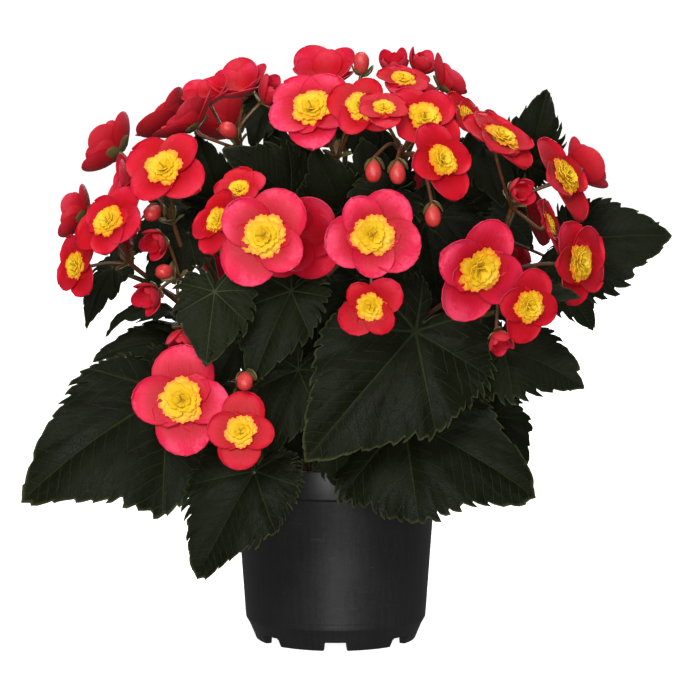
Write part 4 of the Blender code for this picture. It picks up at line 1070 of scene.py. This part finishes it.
def makeWhorlTree(sizes):
    # each petal lies on a surface turned about the bloom's axis, at its own height
    given = geometryTree("PetalWhorl", {
        "Radius": 0.025, "Count": 4, "Half Width": 1.0, "Fullness": 1.3, "Start": 1.0, "End": 1.55,
        "Side Reach": 1.0, "Side Width": 1.0, "Seat": 0.0, "Uneven": 0.10, "Dish": sizes["dish"],
        "Across Points": 8, "Along Points": 8, "Thickness": sizes["thickness"], "Tone": 0.5, "Seed": 0,
        "Face": "Material", "Back": "Material"})
    grid, across, along = flatSheet(given["Across Points"], given["Along Points"])
    side = 1.0 - across * 2.0
    # a petal is a disc that touches the axis, so its half angle is the arc cosine of the distance
    onward = sineOf(along * (math.pi / 2 * 0.985))
    halfAngle = (onward ** given["Fullness"]).math("ARCCOSINE") * given["Half Width"]
    fan = side * halfAngle.math("MINIMUM", 1.3)
    tipped = onward * (1.0 - fan * fan * along * 0.03)
    bend = given["End"] - given["Start"]
    leaning = bend * tipped + given["Start"]
    reach = (cosineOf(given["Start"]) - cosineOf(leaning)) / bend
    rise = (sineOf(leaning) - sineOf(given["Start"])) / bend
    rim = onward.ramp(0.45, 1.0)
    dish = (side * side - 0.5) * given["Dish"] * rim
    ripple = (sineOf(side * 4.2 + 0.8) * rim * 0.25 - onward.ramp(0.86, 1.0) * 0.30) * given["Dish"]
    outward = reach * given["Radius"]
    height = (rise + dish + ripple) * given["Radius"]
    place = vectorOf(outward * cosineOf(fan), outward * sineOf(fan), height)
    sheet = storeOn(grid, "petalPlace", "FLOAT_VECTOR", vectorOf(side, along, 0.0))
    petal = thickened(bent(sheet, place), given["Thickness"], given["Face"], given["Back"])
    # every other petal is smaller and lies over its neighbours
    index = geo("InputIndex")
    odd = index.math("MODULO", 2.0)
    layer = odd * 2.0 + index.math("GREATER_THAN", 3.5)
    seat = given["Seat"] + layer * given["Radius"] * sizes["layer"]
    points = geo("Points", {"Count": given["Count"], "Position": vectorOf(0.0, 0.0, seat)})
    uneven, chance = given["Uneven"], chanceFrom(index, given["Seed"])
    nod = chance(2, 0.0, 0.6) * uneven * (1.0 - odd * 2.0)
    around = index * (2 * math.pi) / given["Count"] + uneven * chance(3, -0.9, 0.9)
    size = (1.0 - uneven * chance(4, 0.0, 1.0)) * (odd * (given["Side Reach"] - 1.0) + 1.0)
    wideness = size * (odd * (given["Side Width"] - 1.0) + 1.0) * (1.0 + uneven * chance(6, -0.6, 0.6))
    petals = geo("InstanceOnPoints", {
        "Points": points, "Instance": petal, "Rotation": vectorOf(0.0, nod, around),
        "Scale": vectorOf(size, wideness, size)})
    return endTree(storeOn(petals, "tone", "FLOAT", given["Tone"] + chance(5, -0.12, 0.12), "INSTANCE"))


rosetteSizes = {
    "petals": 24, "share": 0.475, "gap": 0.0004, "base": 0.0003, "thickness": 0.0007,
    "goldenAngle": 2.39996, "crimp": 0.020, "frill": 0.036, "curl": 0.32, "cup": (0.60, 0.15),
}


def makeRosetteTree(sizes):
    given = geometryTree("FrilledRosette", {
        "Reach": 0.011, "Count": sizes["petals"], "Seed": 0, "Base": sizes["base"],
        "Thickness": sizes["thickness"], "Skin": "Material"})
    whole = given["Reach"]
    grid, across, along = flatSheet(7, 5)
    side = 1.0 - across * 2.0
    wide = side * (along ** 0.8 * 0.38 + 0.04)
    crimp = cosineOf(side * (3 * math.pi)) * along ** 3.0
    onward = along * (1.0 - side ** 4.0 * 0.20) + crimp * sizes["crimp"]
    curl = along ** 3.0 * sizes["curl"] - side * side * along * 0.20
    place = vectorOf((curl + crimp * sizes["frill"]) * whole, wide * whole, onward * whole)
    sheet = storeOn(grid, "petalPlace", "FLOAT_VECTOR", vectorOf(side, along, 0.0))
    petal = thickened(bent(sheet, place), given["Thickness"], given["Skin"], given["Skin"])
    # points on a golden-angle spiral, upright in the middle and spread out at the rim
    index = geo("InputIndex")
    ring = ((index + 0.5) / given["Count"]) ** 0.5
    chance = chanceFrom(index, given["Seed"])
    turn = index * sizes["goldenAngle"] + chance(1, -0.20, 0.20)
    reach = ring * whole * 0.12
    place = vectorOf(cosineOf(turn) * reach, sineOf(turn) * reach, given["Base"] + whole * 0.02)
    points = geo("SetPosition", {"Geometry": geo("Points", {"Count": given["Count"]}), "Position": place})
    lean = ring * 1.28 + chance(2, -0.08, 0.08) - 0.22
    scale = ring * ring * 0.30 + 0.62 + chance(3, -0.05, 0.05)
    petals = geo("InstanceOnPoints", {
        "Points": points, "Instance": petal, "Rotation": vectorOf(0.0, lean, turn),
        "Scale": vectorOf(scale, scale, scale)})
    broad, tall = [whole * share for share in sizes["cup"]]
    # the cup has no petaloid place or ring, so the finish paints it mostly in the dark olive painted shade
    cup = geo("MeshUVSphere", {"Segments": 14, "Rings": 7, "Radius": 1.0})
    cup = geo("Transform", {
        "Geometry": cup, "Translation": vectorOf(0.0, 0.0, tall + given["Base"]),
        "Scale": vectorOf(broad, broad, tall)})
    ringed = storeOn(petals, "ring", "FLOAT", ring, "INSTANCE")
    return endTree(joinedOf(ringed, skinned(cup, given["Skin"])))


budSizes = {"radius": 0.0053, "length": 0.0145, "seam": 0.13, "flat": 0.86, "bractReach": 0.0125}


def makeBudTree(sizes):
    given = geometryTree("Bud", {"Radius": sizes["radius"], "Length": sizes["length"], "Skin": "Material"})
    ball = geo("MeshUVSphere", {"Segments": 16, "Rings": 10, "Radius": 1.0})
    x, y, z = axesOf(geo("InputPosition"))
    angle = y.math("ARCTAN2", x)
    seam = (sineOf(angle) * sineOf(angle) * -18.0).math("EXPONENT") * sizes["seam"]
    swell = (z * 0.15 + 1.0) * (1.0 - seam) * given["Radius"]
    ridge = (1.0 - z * z).math("MAXIMUM", 0.0)
    ball = storeOn(ball, "petalPlace", "FLOAT_VECTOR", vectorOf(sineOf(angle), z * 0.5 + 0.5, ridge))
    place = vectorOf(x * swell, y * swell * sizes["flat"], (z + 0.8) * given["Length"] * 0.5)
    moved = geo("SetPosition", {"Geometry": ball, "Position": place})
    return endTree(skinned(moved, given["Skin"]))


whorlTree = makeWhorlTree(bloomSizes)
rosetteTree = makeRosetteTree(rosetteSizes)
budTree = makeBudTree(budSizes)


def whorlMesh(placing, face="petal", back="petalBack", **values):
    named = {key.replace("_", " "): value for key, value in values.items()}
    return placed(grown(whorlTree, {"Face": materials[face], "Back": materials[back], **named}), placing)


def bractMesh(placing, reach, count, half, start, end, seed):
    return whorlMesh(
        placing, "bract", "bract", Radius=reach, Count=count, Half_Width=half, Start=start, End=end,
        Across_Points=5, Along_Points=5, Uneven=0.2, Seed=seed, Fullness=0.9)


# how many petals the front blooms have, and how far the first is turned from upright
arrangements = {
    "lower_left_1": (4, 3), "lower_left_2": (4, 178), "centre_1": (5, -40), "centre_2": (4, 125),
    "left_centre_1": (4, -35), "left_1": (4, 60), "far_left_1": (5, -20), "right_lower_2": (4, -20),
    "right_lower_3": (4, 168), "top_front_1": (5, 40), "top_right_3": (4, 5), "top_right_2": (4, 40),
}


def openBloom(number, placing, radius, opening, petals, doubled, dense, tone):
    sizes = bloomSizes
    sideReach, sideWidth = sizes["sidePetal"]
    seat = -0.0003 - radius * (sizes["outerDrop"] if doubled else sizes["outerDrop"] * 0.6)
    outer = whorlMesh(
        placing, Radius=radius, Half_Width=sizes["outerHalf"], Start=math.radians(64),
        End=math.radians(22 + 70 * opening), Seat=seat, Count=petals, Side_Reach=sideReach,
        Side_Width=sideWidth, Across_Points=dense, Along_Points=dense, Tone=tone, Seed=number * 10)
    inner = whorlMesh(
        placing @ Matrix.Rotation(0.7, 4, "Z"), Radius=radius * sizes["innerShare"],
        Half_Width=sizes["innerHalf"], Start=math.radians(73), End=math.radians(96),
        Seat=seat + radius * sizes["innerLift"], Across_Points=6, Along_Points=5, Tone=tone * 0.35,
        Seed=number * 10 + 5, Uneven=0.16)
    return [outer, inner]


def cupBloom(number, placing, radius, opening, dense, tone):
    # side-on and closing blooms are cups, the most closed ones eggs
    shut = opening < bloomSizes["shut"]
    start, end = (1.35, -0.15) if shut else (1.45, 0.30 + 0.5 * opening)
    meshes = []
    for share, turn, narrower in ((1.0, 0.0, 0.0), (0.84, 0.8, 0.10)):
        meshes.append(whorlMesh(
            placing @ Matrix.Rotation(turn, 4, "Z"), Radius=radius * share * (1.25 if shut else 1.15),
            Half_Width=0.95 if shut else 1.05, Start=start, End=end - narrower * 2, Seat=-0.0003,
            Side_Reach=0.92, Side_Width=0.95, Count=4, Across_Points=dense + 4, Along_Points=dense + 4,
            Tone=tone, Seed=number * 10 + int(turn * 10), Dish=0.02, Uneven=0.05,
            Fullness=0.9 if shut else 1.1))
    below = placing @ Matrix.Translation((0.0, 0.0, -0.0012))
    return meshes + [bractMesh(below, radius * 0.55, 3, 0.8, 1.5, 1.0, number)]


def bloomMeshes(number, placing, width, opening, front, petals):
    radius = width / 2 * bloomSizes["reach"]
    large = front and width >= bloomSizes["large"]
    dense = 11 if large else 8
    if opening > bloomSizes["openEnough"]:
        tone = 0.85 if front and width >= bloomSizes["pink"] else 0.22
        return openBloom(number, placing, radius, opening, petals, large, dense, tone)
    return cupBloom(number, placing, radius, opening, dense, 0.40 if front else 0.12)


def facingAxes(place, facing, upright, limit):
    # Z along the facing, X near the upright or, where these are too close, near the depth
    if abs(facing.dot(upright)) >= limit:
        upright = Vector((0, 1, 0))
    return axesAt(place, upright - facing * upright.dot(facing), facing)


flowerStalks = {"radius": 0.0018, "pedicel": 0.0011, "receptacle": 0.09, "seat": 0.0003, "tuck": 0.00035}
bloomNumber = 0
for sprayName, (stem, root, hub, blooms, buds) in sprays.items():
    front = not sprayName.startswith("rear")
    place, along, radius = onStem(stem, root)
    if root >= 1.0:
        leaving = along
        seat = place + along * flowerStalks["seat"]
    else:
        leaving = hub - place
        leaving = (leaving - along * leaving.dot(along)).normalized()
        seat = place + leaving * (radius + flowerStalks["seat"])
    reach = (hub - seat).length
    arriving = (hub - seat).normalized()
    collar = seat + leaving * 0.004
    main = [seat] + bezier(collar, collar + leaving * reach * 0.3, hub - arriving * reach * 0.3, hub, 3)
    stalks = [tapered(main, flowerStalks["radius"], flowerStalks["radius"] * 0.85)]
    meshes = []
    spins = random.Random(sprayName)
    heads = []
    for index, (place, width, turn, tilt, opening) in enumerate(blooms):
        spin = spins.uniform(0, 72)
        usual = (4 if bloomNumber % 3 == 1 else 5, spin)
        petals, spin = arrangements.get(f"{sprayName}_{index + 1}", usual)
        facing = direction(turn, tilt)
        placing = facingAxes(place, facing, Vector((0, 0, 1)), 0.95)
        placing = placing @ Matrix.Rotation(math.radians(spin), 4, "Z")
        meshes += bloomMeshes(bloomNumber, placing, width, opening, front, petals)
        heads.append((place - facing * flowerStalks["tuck"], facing, flowerStalks["receptacle"] * width / 2))
        if opening > bloomSizes["openEnough"]:
            reachOut = rosetteSizes["share"] * width / 2 - rosetteSizes["gap"]
            values = {"Reach": reachOut, "Seed": bloomNumber, "Skin": materials["centre"]}
            name = f"{sprayName}_{index + 1}"
            centre = placed(grown(rosetteTree, values), placing)
            joinedPiece("rosette_" + name, [centre], "bloom_centre", "centre_" + name)
        bloomNumber += 1
    for place, turn, tilt in buds:
        facing = direction(turn, tilt)
        placing = facingAxes(place, facing, Vector((1, 0, 0)), 0.9)
        meshes.append(placed(grown(budTree, {"Skin": materials["bud"]}), placing))
        below = placing @ Matrix.Translation((0.0, 0.0, -0.0035))
        meshes.append(bractMesh(below, budSizes["bractReach"], 2, 0.95, 1.45, -0.10, bloomNumber + len(meshes)))
        heads.append((place + facing * 0.002, facing, flowerStalks["pedicel"] * 1.3))
    for end, facing, endRadius in heads:
        reach = (end - hub).length
        neck = end - facing * endRadius * 2.2
        middle = bezier(hub, hub + arriving * reach * 0.35, neck - facing * reach * 0.35, neck, 2)[1]
        thin = flowerStalks["pedicel"]
        stalks.append([(hub, thin * 1.15), (middle, thin), (neck, thin * 1.1), (end, endRadius)])
    upward = arriving.cross(Vector((0.3, 1.0, 0.1)))
    meshes.append(bractMesh(axesAt(hub, upward, arriving), 0.0130, 4, 0.60, 0.60, 1.15, bloomNumber))
    meshes.append(stalkMesh(stalks, "stalk", step=0.0025, sides=7))
    joinedPiece("spray_fine_" + sprayName, meshes, "petal", "spray_" + sprayName)
print("sprays made:", len(sprays), "with", bloomNumber, "blooms")


stage = {
    "floor": (0.90, 0.90, 0.90), "glow": 0.90, "front": -6.0, "bend": 5.0, "height": 6.0, "side": 8.0,
    "target": (0.0078, 0.0, 0.1846), "distance": 2.4, "elevation": 6.5, "lens": 196.7, "daylight": 0.13,
}


def makeStage(sizes):
    bm = bmesh.new()
    turns = [math.radians(15 * step) for step in range(1, 7)]
    corner = [(sizes["bend"] + math.sin(turn), 1.0 - math.cos(turn)) for turn in turns]
    wallTop = (sizes["bend"] + 1.0, sizes["height"])
    profile = [(sizes["front"], 0.0), (sizes["bend"], 0.0)] + corner + [wallTop]
    rows = [[bm.verts.new((x, y, z)) for y, z in profile] for x in (-sizes["side"], sizes["side"])]
    for left, right, nextLeft, nextRight in zip(rows[0], rows[1], rows[0][1:], rows[1][1:]):
        bm.faces.new((left, right, nextRight, nextLeft))
    mesh = bpy.data.meshes.new("backdrop")
    bm.to_mesh(mesh)
    bm.free()
    backdrop = bpy.data.objects.new("backdrop", mesh)
    scene.collection.objects.link(backdrop)
    mesh.shade_smooth()
    mesh.materials.append(newMaterial(
        "backdropPaper", 0.9, Base_Color=(*sizes["floor"], 1.0), Emission_Color=(1.0, 1.0, 1.0, 1.0),
        Emission_Strength=sizes["glow"]))
    backdrop.visible_glossy = False
    backdrop.visible_diffuse = False


def areaLight(name, place, target, size, power):
    data = bpy.data.lights.new(name, "AREA")
    data.shape = "DISK"
    data.size = size
    data.energy = power
    light = bpy.data.objects.new(name, data)
    scene.collection.objects.link(light)
    light.location = place
    light.rotation_euler = (Vector(target) - Vector(place)).to_track_quat("-Z", "Y").to_euler()


# place, height aimed at, size, power
lights = {
    "keyLight": ((-0.8, -2.6, 1.5), 0.2, 1.3, 62.0),
    "frontLight": ((0.1, -3.0, 0.35), 0.15, 0.8, 46.0),
    "topLight": ((0.1, 0.2, 2.2), 0.2, 1.4, 26.0),
    "backLight": ((0.9, 2.8, 1.1), 0.2, 1.4, 24.0),
}
makeStage(stage)
for name, (place, aim, size, power) in lights.items():
    areaLight(name, place, (0.0, 0.0, aim), size, power)

world = bpy.data.worlds.new("studio")
scene.world = world
world.use_nodes = True
background = world.node_tree.nodes["Background"].inputs
background["Color"].default_value = (1.0, 1.0, 1.0, 1.0)
background["Strength"].default_value = stage["daylight"]
scene.view_settings.view_transform = "Standard"

camera = bpy.data.objects.new("camera", bpy.data.cameras.new("camera"))
scene.collection.objects.link(camera)
scene.camera = camera
camera.data.sensor_width = 36.0
camera.data.lens = stage["lens"]
climb = math.radians(stage["elevation"])
target = Vector(stage["target"])
camera.location = target + Vector((0.0, -math.cos(climb), math.sin(climb))) * stage["distance"]
camera.rotation_euler = (target - camera.location).to_track_quat("-Z", "Y").to_euler()
print("stage set")
